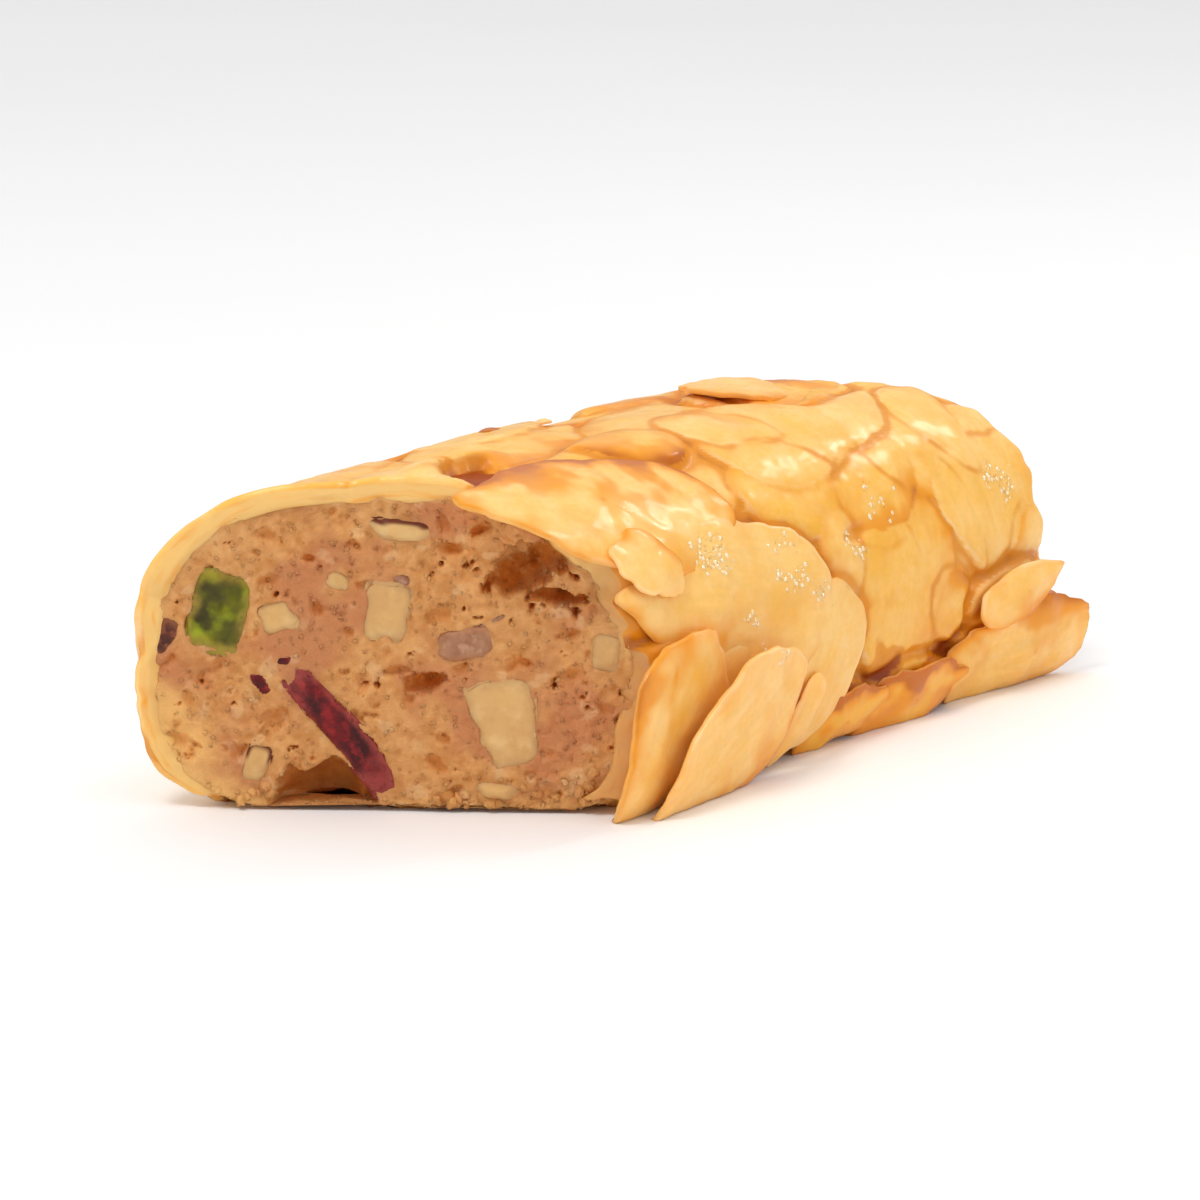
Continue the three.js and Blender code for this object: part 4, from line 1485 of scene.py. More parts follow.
@dataclass
class Leaves:
    """Flaked almonds that show their crisp edges: thin closed leaves with a rounded rim."""

    form: LogForm
    field_: CoatField
    flakes: Sequence[Flake]
    thickness: float = 0.95
    rim_thickness: float = 0.5
    rings: int = 18
    sides: int = 96
    under_rings: int = 8
    seed: int = 40

    def profile(self) -> list[tuple[float, float]]:
        """Return the leaf's profile from its top middle round the rim to its under middle.

        Returns:
            The share of the outline's radius of each ring, and how deep it lies between the upper face,
            0, and the lower face, 1.
        """
        top = [((i / self.rings) ** 0.8, 0.0) for i in range(1, self.rings)]
        rim = [(0.985 + 0.02 * math.cos(a), 0.5 - 0.5 * math.sin(a)) for a in np.linspace(1.5, -1.5, 5)]
        under = [(1 - i / self.under_rings, 1.0) for i in range(1, self.under_rings)]
        return top + rim + under

    def leaf(self, flake: Flake, noise: Noise) -> tuple[Array, Marks]:
        """Return the points and marks of one leaf, from its top middle to its under middle.

        Args:
            flake: The flake that it is.
            noise: What its waves are read from.

        Returns:
            The points and their marks.
        """
        shares, depths = (np.array(v)[:, None] for v in zip(*self.profile()))
        angle = np.linspace(0, TURN, self.sides, endpoint=False)[None, :]
        rim_p, rim_q = flake.rim(angle)
        ragged = stacked(rim_p, rim_q, 9 * flake.phase)
        outline = 1 + flake.torn * noise.fractal(ragged, 1.6) + 0.03 * noise.fractal(ragged, 5)
        p, q = rim_p * shares * outline, rim_q * shares * outline
        p = np.minimum(p, flake.snap * flake.length / 2 + 0.3 * noise.fractal(ragged, 2.0) * shares)
        p, q = (np.concatenate([[0], v.ravel(), [0]]) for v in (p, q))
        shares = np.concatenate([[0], np.repeat(shares, self.sides), [0]])
        depths = np.concatenate([[0], np.repeat(depths, self.sides), [1]])
        place = stacked(p, q, 9 * flake.phase)
        wave = flake.wave * noise.fractal(place, 4.5, 2) + 0.06 * noise.fractal(place, 1.2, 2)
        wave += 0.07 * np.abs(noise.fractal(place + 20, 2.4, 2))
        slim = min(1, 0.3 + flake.width / 14)
        thick = slim * (self.thickness + (self.rim_thickness - self.thickness) * shares**2)
        height = flake.height(p, q, shares) + wave - thick * depths
        points = flake.placed(self.form, p, q, height)
        points[:, 2] = np.maximum(points[:, 2], 0.0)
        inside = (1 - np.minimum(shares, 1)) * np.hypot(p, q) / np.maximum(shares, 1e-6)
        dx, around = turned(p, q, -flake.turn)
        marks = {
            "tone": np.full_like(p, flake.tone), "toast": flake.browned(q), "rim": inside,
            "glaze": np.zeros_like(p), "base": np.zeros_like(p),
            "bubbles": self.field_.bubbles(flake.x + dx, flake.along + around) * (depths < 0.1),
            "cut": 0.5 * smoothstep(0.15, 0.5, depths) * smoothstep(0.96, 0.99, shares),
            "grain": place, "layer": stacked(p, 2 * depths, q),
        }
        return points, marks

    def build(self) -> Object:
        """Make one mesh of all the leaves.

        Returns:
            The leaves.
        """
        batch = Batch()
        faces = capped_faces(len(self.profile()), self.sides)
        for i, flake in enumerate(self.flakes):
            points, marks = self.leaf(flake, Noise(self.seed + i))
            batch.add(points, faces, marks)
        return batch.build("leaves")


# ---- Pieces in the dough ----


@dataclass(frozen=True)
class Morsel:
    """A piece of fruit or nut at a cut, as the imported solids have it.

    across, up and turn place it on the cut, and size is its depth into the dough, its width along the cut
    and its height. It is a ball pushed towards a box by blockiness, bent up in its middle and widened
    towards its top by taper. It stands proud of the cut, and skin is how thick its brown skin is on top.
    """

    name: str
    end: End
    across: float
    up: float
    turn: float
    size: tuple[float, float, float]
    finish: Finish = Finish.ALMOND
    blockiness: float = 0.4
    bend: float = 0.0
    taper: float = 0.0
    proud: float = 0.02
    skin: float = 0.0

    DETAIL = 5
    FLOOR = 0.5

    def local(self, across: Array, up: Array) -> tuple[Array, Array]:
        """Return places on the cut in its own axes, where its half sizes are 1.

        Args:
            across: Distances along the cut.
            up: Heights on it.

        Returns:
            The places across and up, in shares of its half width and height.
        """
        y, z = turned(across - self.across, up - self.up, self.turn)
        z = z * 2 / self.size[2]
        y = y * 2 / self.size[1] / np.maximum(1 + self.taper * z, 0.2)
        return y, z - self.bend * (1 - np.minimum(y * y, 1.5))

    def gap(self, across: Array, up: Array) -> Array:
        """Return how far places on the cut lie outside its outline, in millimetres.

        Args:
            across: Distances along the cut.
            up: Heights on it.

        Returns:
            One distance for each place, less than 0 inside.
        """
        y, z = self.local(across, up)
        power = 2 + 5 * self.blockiness
        radius = (np.abs(y) ** power + np.abs(z) ** power) ** (1 / power)
        return (radius - 1) * min(self.size[1:]) / 2

    def build(self, form: LogForm, seed: int) -> Object:
        """Make the piece, cut off flat where the knife went through it.

        Args:
            form: The log.
            seed: What its own unevenness is drawn from.

        Returns:
            The object.
        """
        noise = Noise(100 + seed)
        ball, faces = ball_form(self.DETAIL if max(self.size) > 3.5 else self.DETAIL - 1)
        widest = np.abs(ball).max(axis=1, keepdims=True)
        shape = ball * (1 + self.blockiness * (1 / widest - 1))
        shape *= 1 + 0.1 * noise.fractal(ball * 2, 1.3, 3, 0.6)[:, None]
        shape[:, 2] += self.bend * (1 - shape[:, 1] ** 2)
        shape[:, 1] *= 1 + self.taper * shape[:, 2]
        shape = shape * np.array(self.size) / 2
        across, up = turned(shape[:, 1], shape[:, 2], -self.turn)
        across, up = self.across + across, self.up + up
        depth = shape[:, 0] * form.inward(self.end)
        place = stacked(across, up, depth)
        face = -self.proud + 0.16 * noise.fractal(place, 1.9, 3)
        inside = np.maximum(-self.gap(across, up), 0)
        face += (0.2 + self.proud) * smoothstep(0.6, 0.0, inside)
        sunk = smoothstep(0.3, -0.1, depth - face)
        depth = np.maximum(depth, face)
        up = np.maximum(up, self.FLOOR)
        points = form.on_cut(self.end, across, up, depth)
        points += (1 - sunk)[:, None] * 0.04 * noise.fractal(place, 0.8, 2)[:, None]
        skin = smoothstep(0.12, -0.12, inside - self.skin) * smoothstep(0, 0.3, ball[:, 2]) * (self.skin > 0)
        reach = min(0.9, 0.25 * min(self.size[1:]))
        dusted = smoothstep(reach, 0.1 * reach, inside + 0.35 * reach * noise.fractal(place + 5, 1.2, 3))
        marks = {"edge": dusted, "skin": skin}
        return mesh_object(self.name, points, faces, marks)


def ball_form(detail: int) -> tuple[Array, list[list[int]]]:
    """Return the points and triangles of a round ball of radius 1, finer with more detail.

    Args:
        detail: How often its faces are split.

    Returns:
        The points and the faces.
    """
    ball = bmesh.new()
    bmesh.ops.create_icosphere(ball, subdivisions=detail, radius=1)
    points = np.array([v.co[:] for v in ball.verts])
    faces = [[v.index for v in f.verts] for f in ball.faces]
    ball.free()
    return points, faces


def morsels() -> list[Morsel]:
    """Return every piece of fruit and nut that is a solid of its own."""
    near, far = End.NEAR, End.FAR
    green, red, nut = Finish.GREEN, Finish.RED, Finish.NUT
    return [
        Morsel("green_fruit", near, 12.9, 14.9, 14, (5, 4.4, 6.4), green, 0.5),
        Morsel("red_fruit", near, 4.4, 5.9, 51, (4.4, 12.6, 2.8), red, 0.45, bend=0.25, proud=0.25),
        Morsel("raisin", near, 17, 12.9, 30, (3, 2, 3.4), Finish.RAISIN, 0.3),
        Morsel("almond_chunk", near, -7.8, 6.7, -12, (5, 4.6, 7.4), blockiness=0.7, taper=0.3),
        Morsel("almond_crescent", near, -0.5, 21.3, 6, (5, 5.2, 1.9), blockiness=0.1, bend=-0.4,
               proud=0.15, skin=0.45),
        Morsel("almond_cube", near, 0.8, 14.9, 8, (4, 3.6, 4.6), blockiness=0.6),
        Morsel("almond_side", near, -15, 12.2, 10, (3.4, 2.4, 3.4)),
        Morsel("almond_left", near, 8.6, 14.5, -20, (3.4, 3, 2.6), blockiness=0.5),
        Morsel("almond_shard", near, 10.4, 3.4, 18, (3.4, 2, 3.8), blockiness=0.5, skin=0.3),
        Morsel("skinned_nut", near, -4.9, 12.6, -12, (4, 4.6, 2.6), nut, 0.3),
        Morsel("green_fruit_far", far, -7.5, 9.5, 24, (5, 5, 6), green, 0.5),
        Morsel("red_fruit_far", far, 8.6, 12, -35, (4.4, 8.5, 3), red, proud=0.2),
        Morsel("almond_far_round", far, 1, 16.2, 12, (6, 8.4, 5.4), blockiness=0.15, skin=0.3),
        Morsel("almond_far_cube", far, 2.6, 6.2, 20, (4.4, 4.6, 4), blockiness=0.6),
        Morsel("almond_far_shard", far, -11.4, 16.4, 40, (3.6, 3, 4.6), blockiness=0.5),
    ]


def small_bits() -> list[Morsel]:
    """Return the small bits of fruit, nut and skin that lie in the dough of the near cut."""
    near = End.NEAR
    return [
        Morsel("red_bit", near, 9.9, 9.4, 60, (1.4, 2.4, 1.1), Finish.RED, 0.3),
        Morsel("red_crumb", near, 8.3, 11.2, 10, (1.2, 1.5, 0.9), Finish.RED, 0.3),
        Morsel("skin_bit", near, -0.3, 17.3, 10, (1.4, 2.2, 1.3), Finish.NUT, 0.2, skin=0.3),
        Morsel("skin_sliver", near, -7.4, 14.6, -24, (1.4, 3.2, 0.8), Finish.NUT, 0.3, skin=0.3),
        Morsel("white_bit", near, 4.2, 17.1, 20, (1.4, 2.2, 1.6), blockiness=0.3),
        Morsel("foot_chip", near, -7.0, 1.6, 4, (2.4, 3.2, 1.4), blockiness=0.5, proud=0.5),
    ]


# ---- The crumb ----


@dataclass(frozen=True)
class Crag:
    """A torn hollow in a cut: its place and turn on it, its depth, and its width and height."""

    across: float
    up: float
    turn: float
    depth: float
    width: float
    height: float

    def bowl(self, across: Array, up: Array, fray: Array) -> Array:
        """Return how deep the hollow is at places on the cut, with its rim frayed.

        Args:
            across: Distances along the cut.
            up: Heights on it.
            fray: How its rim strays, from -1 to 1.

        Returns:
            One depth for each place.
        """
        y, z = turned(across - self.across, up - self.up, self.turn)
        y, z = y * 2 / self.width, z * 2 / self.height
        return self.depth * np.sqrt(np.clip(1 - (y * y + z * z) * (1 + 0.5 * fray), 0, 1))


# across, up, turn, depth, width and height of each torn hollow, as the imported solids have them
CRAGS = {
    End.NEAR: (
        (-9.2, 18.2, -28, 3.0, 6.4, 3.4),  # under the crest
        (-11.4, 16.2, 8, 2.5, 3.4, 1.4),  # the slit below it
        (-2, 9.7, -12, 1.7, 3.6, 1.6),
        (-18, 8.4, 60, 1.5, 3, 1.6),
    ),
    End.FAR: ((-2, 12, 30, 2.5, 5, 2.4), (11, 6, -40, 2.5, 5, 2), (7, 18.4, 20, 2.0, 4.6, 2)),
}
# the same for the middle-sized pits of the near cut
PITS = (
    (6.3, 18.8, 10, 0.6, 1.2, 0.8), (5.8, 15.1, 60, 0.6, 1.4, 1.0), (3.5, 13.4, 30, 0.5, 0.9, 0.7),
    (9.3, 17.2, -20, 0.6, 1.5, 0.9), (2.6, 16.9, 0, 0.5, 1.0, 0.7), (-3.2, 5.5, 20, 0.6, 1.4, 0.8),
    (-12.6, 10.4, -30, 0.7, 1.8, 1.1), (-13.9, 11.8, 50, 0.6, 1.2, 0.8), (-10.7, 4.4, 10, 0.6, 1.3, 0.9),
    (13.7, 9.2, 40, 0.5, 1.0, 0.7), (12.2, 10.9, -10, 0.5, 0.9, 0.8), (-9.6, 2.9, 0, 0.5, 1.1, 0.7),
    (8.6, 9.2, 70, 0.5, 1.0, 0.8), (-3.9, 19.6, 15, 0.9, 2.2, 1.1), (-6.0, 21.0, -25, 0.9, 1.8, 1.0),
    (-12.4, 13.4, -15, 0.7, 1.8, 0.7),
)


@dataclass
class Crumb:
    """The dough inside the coat, with the crumb of its two cuts."""

    form: LogForm
    pieces: Sequence[Morsel]
    rows: int = 164
    columns: int = 200
    stations: int = 9
    inset: float = 0.25
    foot: float = 0.03
    pits: int = 80
    grain: float = 1.2
    seed: int = 60
    base_notch: Crag = Crag(5.2, 0.8, 8, 4.5, 6.4, 5.6)

    def notch(self, end: End, across: Array, up: Array) -> Array:
        """Return how deep the notch in the near cut's base is at places on a cut.

        Args:
            end: The cut.
            across: Distances along the cut.
            up: Heights on it.

        Returns:
            One depth for each place, NOWHERE outside the notch.
        """
        if end is End.FAR:
            return np.full(np.shape(across), NOWHERE)
        place = stacked(across, up, 0.0)
        deep = self.base_notch.bowl(across, up, Noise(self.seed).fractal(place, 1.6, 2))
        return np.where(deep > 0, deep, NOWHERE)

    def outline(self) -> tuple[Array, Array]:
        """Return the places on the section that the grid of a cut has: widths and heights.

        Returns:
            The widths and the heights, a row for each height.
        """
        along = np.linspace(0, self.form.girth, 1441)
        point, _, out = self.form.surface(np.zeros_like(along), along)
        edge = point - self.inset * out
        crest = edge[0, 2] - 0.12
        half = len(along) // 2
        heights = np.linspace(self.foot, crest, self.rows)
        front, back = edge[:half][::-1], edge[half:]
        lows = [np.interp(heights, side[:, 2], side[:, 1]) for side in (front, back)]
        shares = np.linspace(0, 1, self.columns)
        y = lows[0][:, None] * (1 - shares) + lows[1][:, None] * shares
        return y, np.broadcast_to(heights[:, None], y.shape).copy()

    def relief(self, end: End, across: Array, up: Array) -> tuple[Array, Marks]:
        """Return the torn surface of a cut.

        Args:
            end: The cut.
            across: Distances along it.
            up: Heights.

        Returns:
            The depth of each place behind the cut, and its marks.
        """
        noise = Noise(self.seed + self.form.inward(end))
        place = stacked(across, up, 0.0)
        warp = stacked(noise.fractal(place + 50, 1.5), noise.fractal(place + 80, 1.5), 0.0)
        near, _, tone = noise.cells(place + 0.5 * warp, self.grain)
        fine, _, fine_tone = noise.cells(place + 0.3 * warp, self.grain * 0.42)
        lumps = 0.3 - np.abs(noise.fractal(place + 0.5 * warp, 1.7, 4, 0.65))
        grit = 0.3 - np.abs(noise.fractal(place + 70, 0.7, 2, 0.6))
        edge = self.edge_distance(across * math.cos(self.form.slant(end)), up)
        skin_width = 1.0 + 5.5 * smoothstep(9, 17, across * self.form.inward(end)) * smoothstep(11, 6, up)
        rind = smoothstep(1, 0, edge / skin_width + 0.3 * noise.fractal(place + 40, 1.3, 3))
        rough = 1 - 0.75 * rind * smoothstep(2, 4, skin_width)
        depth = 0.2 * noise.fractal(place, 6.0, 2) + (0.34 * lumps + 0.13 * grit) * rough
        depth += (0.1 * (near - 0.5) + 0.1 * (fine - 0.5)) * rough
        fray = noise.fractal(place, 0.8, 3, 0.6)
        depth = greater(depth, self.holes(end, across, up, fray) - 0.05, 0.08)
        bite = noise.fractal(place + 9, 1.1, 3)
        sockets = [m.gap(across, up) + 0.1 * min(3.5, *m.size[1:]) * bite for m in self.pieces if m.end is end]
        socket = np.min(sockets, axis=0)
        depth = np.where(socket < 0.3, depth * smoothstep(-0.1, 0.3, socket) + 0.06, depth)
        level = softened_level(depth)
        deep = np.maximum(self.notch(end, across, up), 0)
        # painted shade: how far a place lies below the level round it, which colours it as a pit
        pit = smoothstep(0.08, 0.7, depth - level)
        depth = np.maximum(depth + 1.1 * smoothstep(-0.26, -0.5, socket), deep)
        marks = {
            "tone": 0.5 + 0.35 * noise.fractal(place + 13, 1.2, 2) + 0.5 * noise.fractal(place + 15, 0.5, 2)
            + 0.15 * (fine_tone - 0.5),
            "warm": smoothstep(-0.25, 0.5, noise.fractal(place + 33, 5.0, 3)),
            "chip": smoothstep(0.8, 0.84, tone) * smoothstep(0.5, 0.36, near + 0.2 * fray),
            # painted shade in the pits, the crags and the base notch
            "pit": np.clip(np.maximum(pit, 0.8 * smoothstep(0.5, 2.5, deep)), 0, 1),
            "rind": rind * smoothstep(0.2, 0.8, up),
            "strew": (socket > 0.1) * (deep < 0.2) * 1.0,
            "foot": smoothstep(2.6, 0.9, up + 0.8 * noise.fractal(place + 21, 2.4)) * (up > 0.6) * (deep < 0.2),
        }
        return depth, marks

    def edge_distance(self, y: Array, z: Array) -> Array:
        """Return how far places on the section lie inside the dough's outline.

        Args:
            y: Widths.
            z: Heights.

        Returns:
            One distance for each place.
        """
        outline = self.form.outline_point(np.linspace(0, self.form.girth, 240, endpoint=False))
        flat = stacked(y.ravel(), z.ravel())
        nearest = [np.hypot(*(flat - spot).T) for spot in outline]
        return np.min(nearest, axis=0).reshape(y.shape)

    def holes(self, end: End, across: Array, up: Array, fray: Array) -> Array:
        """Return how deep the crags and the many small pits of a cut are at places on it.

        Args:
            end: The cut.
            across: Distances along the cut.
            up: Heights on it.
            fray: How their rims stray, from -1 to 1.

        Returns:
            One depth for each place.
        """
        rng = np.random.default_rng(self.seed + self.form.inward(end))
        depth = np.zeros_like(across)
        for row in CRAGS[end] + (PITS if end is End.NEAR else ()):
            depth = np.maximum(depth, Crag(*row).bowl(across, up, 1.4 * fray) * (1 + 0.3 * fray))
        for _ in range(self.pits):
            width = 0.6 + 1.1 * rng.random() ** 2.5
            pit = Crag(rng.uniform(-18, 18), rng.uniform(1, 22.5), rng.uniform(-80, 80),
                       0.12 + 0.4 * width, width * rng.uniform(1, 1.7), width * rng.uniform(0.6, 1.0))
            close = np.hypot(across - pit.across, up - pit.up) < 3
            depth[close] = np.maximum(depth[close], pit.bowl(across[close], up[close], 1.6 * fray[close]))
        return depth

    def face(self, end: End, y: Array, z: Array) -> tuple[Array, Marks]:
        """Return the points and marks of a cut's grid.

        Args:
            end: The cut.
            y: The grid's widths.
            z: The grid's heights.

        Returns:
            The points and their marks.
        """
        across = y / math.cos(self.form.slant(end))
        depth, marks = self.relief(end, across, z)
        rows, columns = y.shape
        r, c = np.meshgrid(np.arange(rows), np.arange(columns), indexing="ij")
        margin = np.minimum(np.minimum(r, rows - 1 - r), np.minimum(c, columns - 1 - c))
        notch = np.maximum(self.notch(end, across, z), 0)
        ragged = Noise(self.seed + 9).fractal(stacked(across, 0.0, 0.0), 1.3, 3)
        z = z + 0.5 * smoothstep(1.2, 0, z) * np.maximum(ragged + 0.2, 0)
        eased = depth * smoothstep(0, 3, margin) + 0.12 * (1 - smoothstep(0, 3, margin))
        depth = np.where(notch > 0, np.maximum(eased, notch), eased)
        points = self.form.on_cut(end, across, z, depth)
        return points, marks

    def build(self) -> Object:
        """Make the dough's mesh: the two cuts and the band round it between them.

        Returns:
            The dough.
        """
        y, z = self.outline()
        near, near_marks = self.face(End.NEAR, y, z)
        far, far_marks = self.face(End.FAR, y, z)
        rows, columns = y.shape
        size = rows * columns
        order = np.arange(size).reshape(rows, columns)
        edge = np.concatenate([order[0, :-1], order[:-1, -1], order[-1, :0:-1], order[:0:-1, 0]])
        near_flat, far_flat = near.reshape(-1, 3), far.reshape(-1, 3)
        between = [near_flat[edge] * (1 - s) + far_flat[edge] * s
                   for s in np.linspace(0, 1, self.stations)[1:-1]]
        band = [edge] + [2 * size + k * len(edge) + np.arange(len(edge)) for k in range(len(between))]
        band.append(size + edge)
        faces = grid_faces(rows, columns).tolist()
        faces += [f[::-1] for f in grid_faces(rows, columns, start=size).tolist()]
        for first, second in zip(band, band[1:]):
            after = [np.roll(ring, -1) for ring in (first, second)]
            faces += np.stack([first, second, after[1], after[0]], axis=-1).tolist()
        points = np.concatenate([near_flat, far_flat, *between])
        hidden = np.zeros(len(between) * len(edge))
        marks = {n: np.concatenate([near_marks[n].ravel(), far_marks[n].ravel(), hidden]) for n in near_marks}
        return mesh_object("crumb", points, faces, marks)


def softened_level(depth: Array) -> Array:
    """Return the level round each place of a cut, against which a pit is deep."""
    padded = np.pad(depth, 12, mode="edge")
    return softened(padded, 5.0)[12:-12, 12:-12]


# ---- What lies strewn over the slice ----


@dataclass(frozen=True)
class Strewing:
    """Small grains strewn over a surface by a Geometry Nodes tree.

    Sizes are in millimetres, density is the number to a square millimetre where the surface's mark is 1,
    squash is a grain's height as a share of its width, sink is how far it lies in as a share of its width,
    tumble is how far it is turned from lying flat, in radians, and lumpiness is how uneven it is.
    """

    name: str
    density: float
    smallest: float
    largest: float
    squash: float
    sink: float
    seed: int
    mark: str = "strew"
    tumble: float = 0.5
    lumpiness: float = 0.9

    @property
    def sizes(self) -> dict[str, float]:
        """Return the values of the tree's inputs by their names, in metres."""
        return {
            "Density": self.density / MM**2, "Smallest": self.smallest * MM, "Largest": self.largest * MM,
            "Squash": self.squash, "Sink": self.sink, "Tumble": self.tumble, "Lumpiness": self.lumpiness,
            "Seed": self.seed,
        }

    def tree(self, material: Material) -> NodeTree:
        """Build the tree that strews grains of a material.

        Args:
            material: The grains' material.

        Returns:
            The tree.
        """
        tree = bpy.data.node_groups.new(self.name, "GeometryNodeTree")
        face = tree.interface
        face.new_socket("Geometry", in_out="INPUT", socket_type="NodeSocketGeometry")
        for name in self.sizes:
            kind = "NodeSocketInt" if name == "Seed" else "NodeSocketFloat"
            face.new_socket(name, in_out="INPUT", socket_type=kind)
        face.new_socket("Geometry", in_out="OUTPUT", socket_type="NodeSocketGeometry")
        g = Graph(tree)
        given = g.add("NodeGroupInput").outputs
        where = g.add("GeometryNodeInputNamedAttribute", {"Name": self.mark}, data_type="FLOAT").outputs[0]
        spread = g.add(
            "GeometryNodeDistributePointsOnFaces",
            {"Mesh": given["Geometry"], "Density": g.times(where, given["Density"]),
             "Seed": given["Seed"]},
        ).outputs
        grain = g.add("GeometryNodeMeshUVSphere", {"Segments": 8, "Rings": 5, "Radius": 0.5}).outputs[0]
        lumpy = g.add("ShaderNodeTexNoise", {"Scale": 2.3}, noise_dimensions="3D").outputs["Color"]
        lumpy = g.add("ShaderNodeVectorMath", {0: lumpy, 1: (0.5,) * 3}, operation="SUBTRACT").outputs[0]
        uneven = g.stretched(lumpy, given["Lumpiness"])
        grain = g.add("GeometryNodeSetPosition", {"Geometry": grain, "Offset": uneven})
        size = g.add(
            "FunctionNodeRandomValue",
            {2: given["Smallest"], 3: given["Largest"], "Seed": given["Seed"]}, data_type="FLOAT",
        ).outputs[1]
        scale = g.add("ShaderNodeCombineXYZ", {0: size, 1: size, 2: g.times(size, given["Squash"])})
        tumble = given["Tumble"]
        back = g.times(tumble, -1.0)
        least = g.add("ShaderNodeCombineXYZ", {0: back, 1: back}).outputs[0]
        most = g.add("ShaderNodeCombineXYZ", {0: tumble, 1: tumble, 2: TURN}).outputs[0]
        spin = g.add(
            "FunctionNodeRandomValue", {0: least, 1: most, "Seed": given["Seed"]}, data_type="FLOAT_VECTOR",
        ).outputs[0]
        turned = g.add(
            "FunctionNodeRotateRotation", {0: spread["Rotation"], 1: spin}, rotation_space="LOCAL"
        ).outputs[0]
        depth = g.times(given["Sink"], g.times(size, -1.0))
        down = g.stretched(spread["Normal"], depth)
        points = g.add("GeometryNodeSetPosition", {"Geometry": spread["Points"], "Offset": down}).outputs[0]
        strewn = g.add(
            "GeometryNodeInstanceOnPoints",
            {"Points": points, "Instance": grain.outputs[0], "Rotation": turned, "Scale": scale.outputs[0]},
        ).outputs[0]
        solid = g.add("GeometryNodeRealizeInstances", {0: strewn}).outputs[0]
        smooth = g.add("GeometryNodeSetShadeSmooth", {0: solid}).outputs[0]
        dressed = g.add("GeometryNodeSetMaterial", {"Geometry": smooth, "Material": material}).outputs[0]
        g.add("NodeGroupOutput", {0: dressed})
        return tree

    def over(self, surface: Object, material: Material) -> Object:
        """Strew the grains over a surface.

        Args:
            surface: The object that they lie on, with the mark that says where.
            material: The grains' material.

        Returns:
            The grains as one plain mesh.
        """
        carrier = linked(self.name, surface.data.copy())
        modifier = carrier.modifiers.new("strewing", "NODES")
        modifier.node_group = self.tree(material)
        for item in modifier.node_group.interface.items_tree:
            if item.in_out == "INPUT" and item.name in self.sizes:
                modifier[item.identifier] = self.sizes[item.name]
        bpy.context.view_layer.update()
        evaluated = carrier.evaluated_get(bpy.context.evaluated_depsgraph_get())
        mesh = bpy.data.meshes.new_from_object(evaluated)
        carrier.modifiers.clear()
        bare = carrier.data
        carrier.data = mesh
        bpy.data.meshes.remove(bare)
        return carrier


# ---- The studio ----


@dataclass(frozen=True)
class Lamp:
    """A soft square lamp that faces the slice: its place and side, its power in watts and its colour."""

    name: str
    place: tuple[float, float, float]
    side: float
    power: float
    colour: str = "ffffff"


@dataclass(frozen=True)
class Studio:
    """A pale floor, soft light all round and the camera at the photograph's angle."""

    azimuth: float = -49.9
    elevation: float = 13.98
    distance: float = 304.98
    target: tuple[float, float, float] = (-1.345, 0.887, 11.208)
    lens: float = 119.65
    floor_size: float = 3000.0
    floor_drop: float = 0.02
    floor_colours: tuple[str, str] = ("f9f9fa", "fcfcfd")
    lit_height: float = 12.0
    surroundings: float = 0.5
    lamps: tuple[Lamp, ...] = (
        Lamp("sky", (80, 160, 900), 2200, 7.7),
        Lamp("fill", (40, -430, 230), 260, 0.22),
        Lamp("key", (-260, -20, 420), 130, 0.76, "fffdf8"),
        Lamp("glint", (330, -110, 280), 60, 0.22, "fffdf8"),
    )

    def back(self) -> Vector:
        """Return the direction from the slice to the camera."""
        a, e = math.radians(self.azimuth), math.radians(self.elevation)
        return Vector((math.sin(a) * math.cos(e), -math.cos(a) * math.cos(e), math.sin(e)))

    def camera(self) -> None:
        """Place the camera."""
        data = bpy.data.cameras.new("camera")
        data.lens, data.clip_start, data.clip_end = self.lens, 0.01, 20.0
        camera = linked("camera", data)
        camera.location = (Vector(self.target) + self.back() * self.distance) * MM
        camera.rotation_euler = (-self.back()).to_track_quat("-Z", "Y").to_euler()
        bpy.context.scene.camera = camera

    def light(self, lamp: Lamp) -> None:
        """Add a lamp.

        Args:
            lamp: The lamp.
        """
        data = bpy.data.lights.new(lamp.name, "AREA")
        data.size, data.energy, data.color = lamp.side * MM, lamp.power, linear(lamp.colour)[:3]
        made = linked(lamp.name, data)
        made.location = Vector(lamp.place) * MM
        aim = Vector((0, 0, self.lit_height * MM)) - made.location
        made.rotation_euler = aim.to_track_quat("-Z", "Y").to_euler()

    def floor(self) -> None:
        """Lay the floor."""
        half, low = self.floor_size / 2, -self.floor_drop
        corners = [(-half, -half, low), (half, -half, low), (half, half, low), (-half, half, low)]
        floor = mesh_object("floor", np.array(corners), [[0, 1, 2, 3]])
        g = MaterialGraph("white_floor")
        soft = g.noise(g.place(), 0.01, 2.0)
        colour = g.mix(soft, *map(linear, self.floor_colours))
        floor.data.materials.append(g.ended(colour, 0.7, soft, 0.01, Specular_IOR_Level=0.2))

    def world(self) -> None:
        """Fill the surroundings with white light."""
        world = bpy.data.worlds.new("studio")
        world.use_nodes = True
        background = world.node_tree.nodes["Background"]
        background.inputs["Color"].default_value = linear("ffffff")
        background.inputs["Strength"].default_value = self.surroundings
        bpy.context.scene.world = world

    def build(self) -> None:
        """Set up the whole studio."""
        self.world()
        self.floor()
        for lamp in self.lamps:
            self.light(lamp)
        self.camera()
        view = bpy.context.scene.view_settings
        view.view_transform = "Standard"
        view.look = "None"


# ---- The slice, put together ----


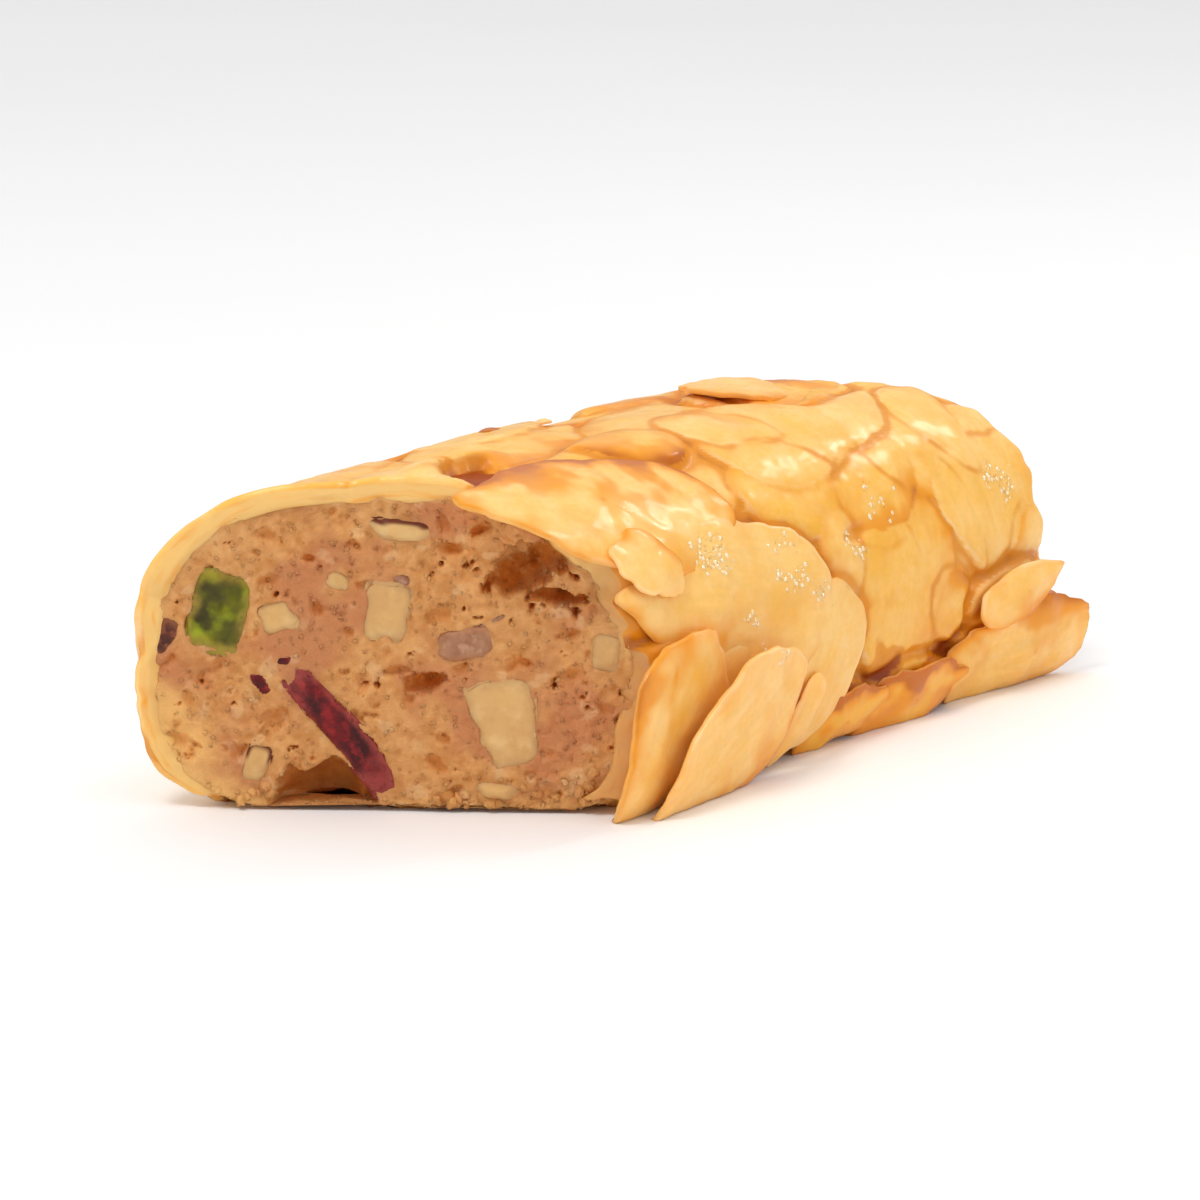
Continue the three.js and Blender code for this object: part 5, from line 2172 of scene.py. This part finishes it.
TONE_SEED = 3  # what the plain flakes' colours are drawn from
LOWER_REST = 0.35  # how high the flakes below the others lie, as a share of a plain flake's rest
LEAF_SINK = 0.7  # how far the coat lies under a leaf that has a mesh of its own
CRUMB_RISE = 0.45  # how high a crumb's upper face lies over the coat
BIT_SEED = 50  # what the first small bit's unevenness is drawn from


def laid_cover(form: LogForm, shown: Sequence[Flake], leaves: Sequence[Flake]) -> CoatField:
    """Lay all the flaked almonds of the coat and glaze them.

    Args:
        form: The log.
        shown: The flakes that lie in the glaze where the solids have them.
        leaves: The flakes that get a mesh of their own, below which the coat only swells.

    Returns:
        The coat's heights and layers.
    """
    cover = CoatField(form)
    rng = np.random.default_rng(TONE_SEED)
    plain = [replace(f, tone=rng.uniform(0.1, 0.8), toast=rng.uniform(0, 0.6))
             for f in PlainRows().flakes(form, [*shown, *leaves])]
    lower = PlainRows(length=(12, 18), width=(7, 10), rows=11, first_row=-34, row_step=6.6,
                      column_step=8.0, clearance=0.0, seed=77)
    for flake in lower.flakes(form, []):
        cover.lay(replace(flake, rest=LOWER_REST * flake.rest, tone=rng.uniform(0.3, 0.9), toast=0.4))
    for flake in [*plain, *shown]:
        cover.lay(flake)
    for flake in leaves:
        cover.lay(flake, sink=LEAF_SINK)
    cover.glaze()
    cover.hollow_out()
    return cover


def rested(flake: Flake, cover: CoatField) -> Flake:
    """Return a crumb that rests on the coat."""
    below = cover.read(cover.height, np.array([flake.x]), np.array([flake.along]))
    return replace(flake, rest=float(below[0]) + CRUMB_RISE)


def main() -> None:
    """Build the slice piece by piece, then the studio."""
    logging.basicConfig(level=logging.INFO, format="%(name)s: %(message)s")
    form = LogForm()
    pieces, bits = morsels(), small_bits()
    crumb = Crumb(form, pieces + bits)
    almond = FlakeFinish("flaked_almond").material()
    leaves = leaf_flakes()
    cover = laid_cover(form, bedded_flakes(), leaves)
    leaves += [rested(flake, cover) for flake in crest_crumbs()]

    coat = Coat(form, cover, crumb).build()
    finish_piece(coat, "crust", almond, ["biscuit"])
    leaf = Leaves(form, cover, leaves).build()
    finish_piece(leaf, "crust", almond, ["biscuit"])
    dough = crumb.build()
    crumb_material = CrumbFinish().material()
    finish_piece(dough, "crust", crumb_material, ["biscuit"])
    for i, morsel in enumerate(pieces):
        finish_piece(morsel.build(form, i), morsel.finish.slot, morsel.finish.material, [morsel.name])
    for i, bit in enumerate(bits):
        finish_piece(bit.build(form, BIT_SEED + i), bit.finish.slot, bit.finish.material)

    # the beads' pale colour is a painted glint
    honey = SyrupFinish().material()
    crumbs = Strewing("loose_crumbs", 1.1, 0.12, 0.38, 0.8, 0.05, 4, lumpiness=1.8)
    lumps = Strewing("foot_crumbs", 1.3, 0.5, 1.1, 0.85, 0.15, 8, mark="foot", tumble=1.2, lumpiness=1.3)
    beads = Strewing("honey_beads", 6.0, 0.1, 0.5, 0.5, 0.1, 9, mark="bubbles", tumble=0.3, lumpiness=0.3)
    more_beads = replace(beads, name="leaf_beads", seed=14)
    strewn = (
        (crumbs, dough, crumb_material), (lumps, dough, crumb_material), (beads, coat, honey),
        (more_beads, leaf, honey),
    )
    for strewing, surface, material in strewn:
        finish_piece(strewing.over(surface, material), "crust", material)

    Studio().build()


if __name__ == "__main__":
    main()
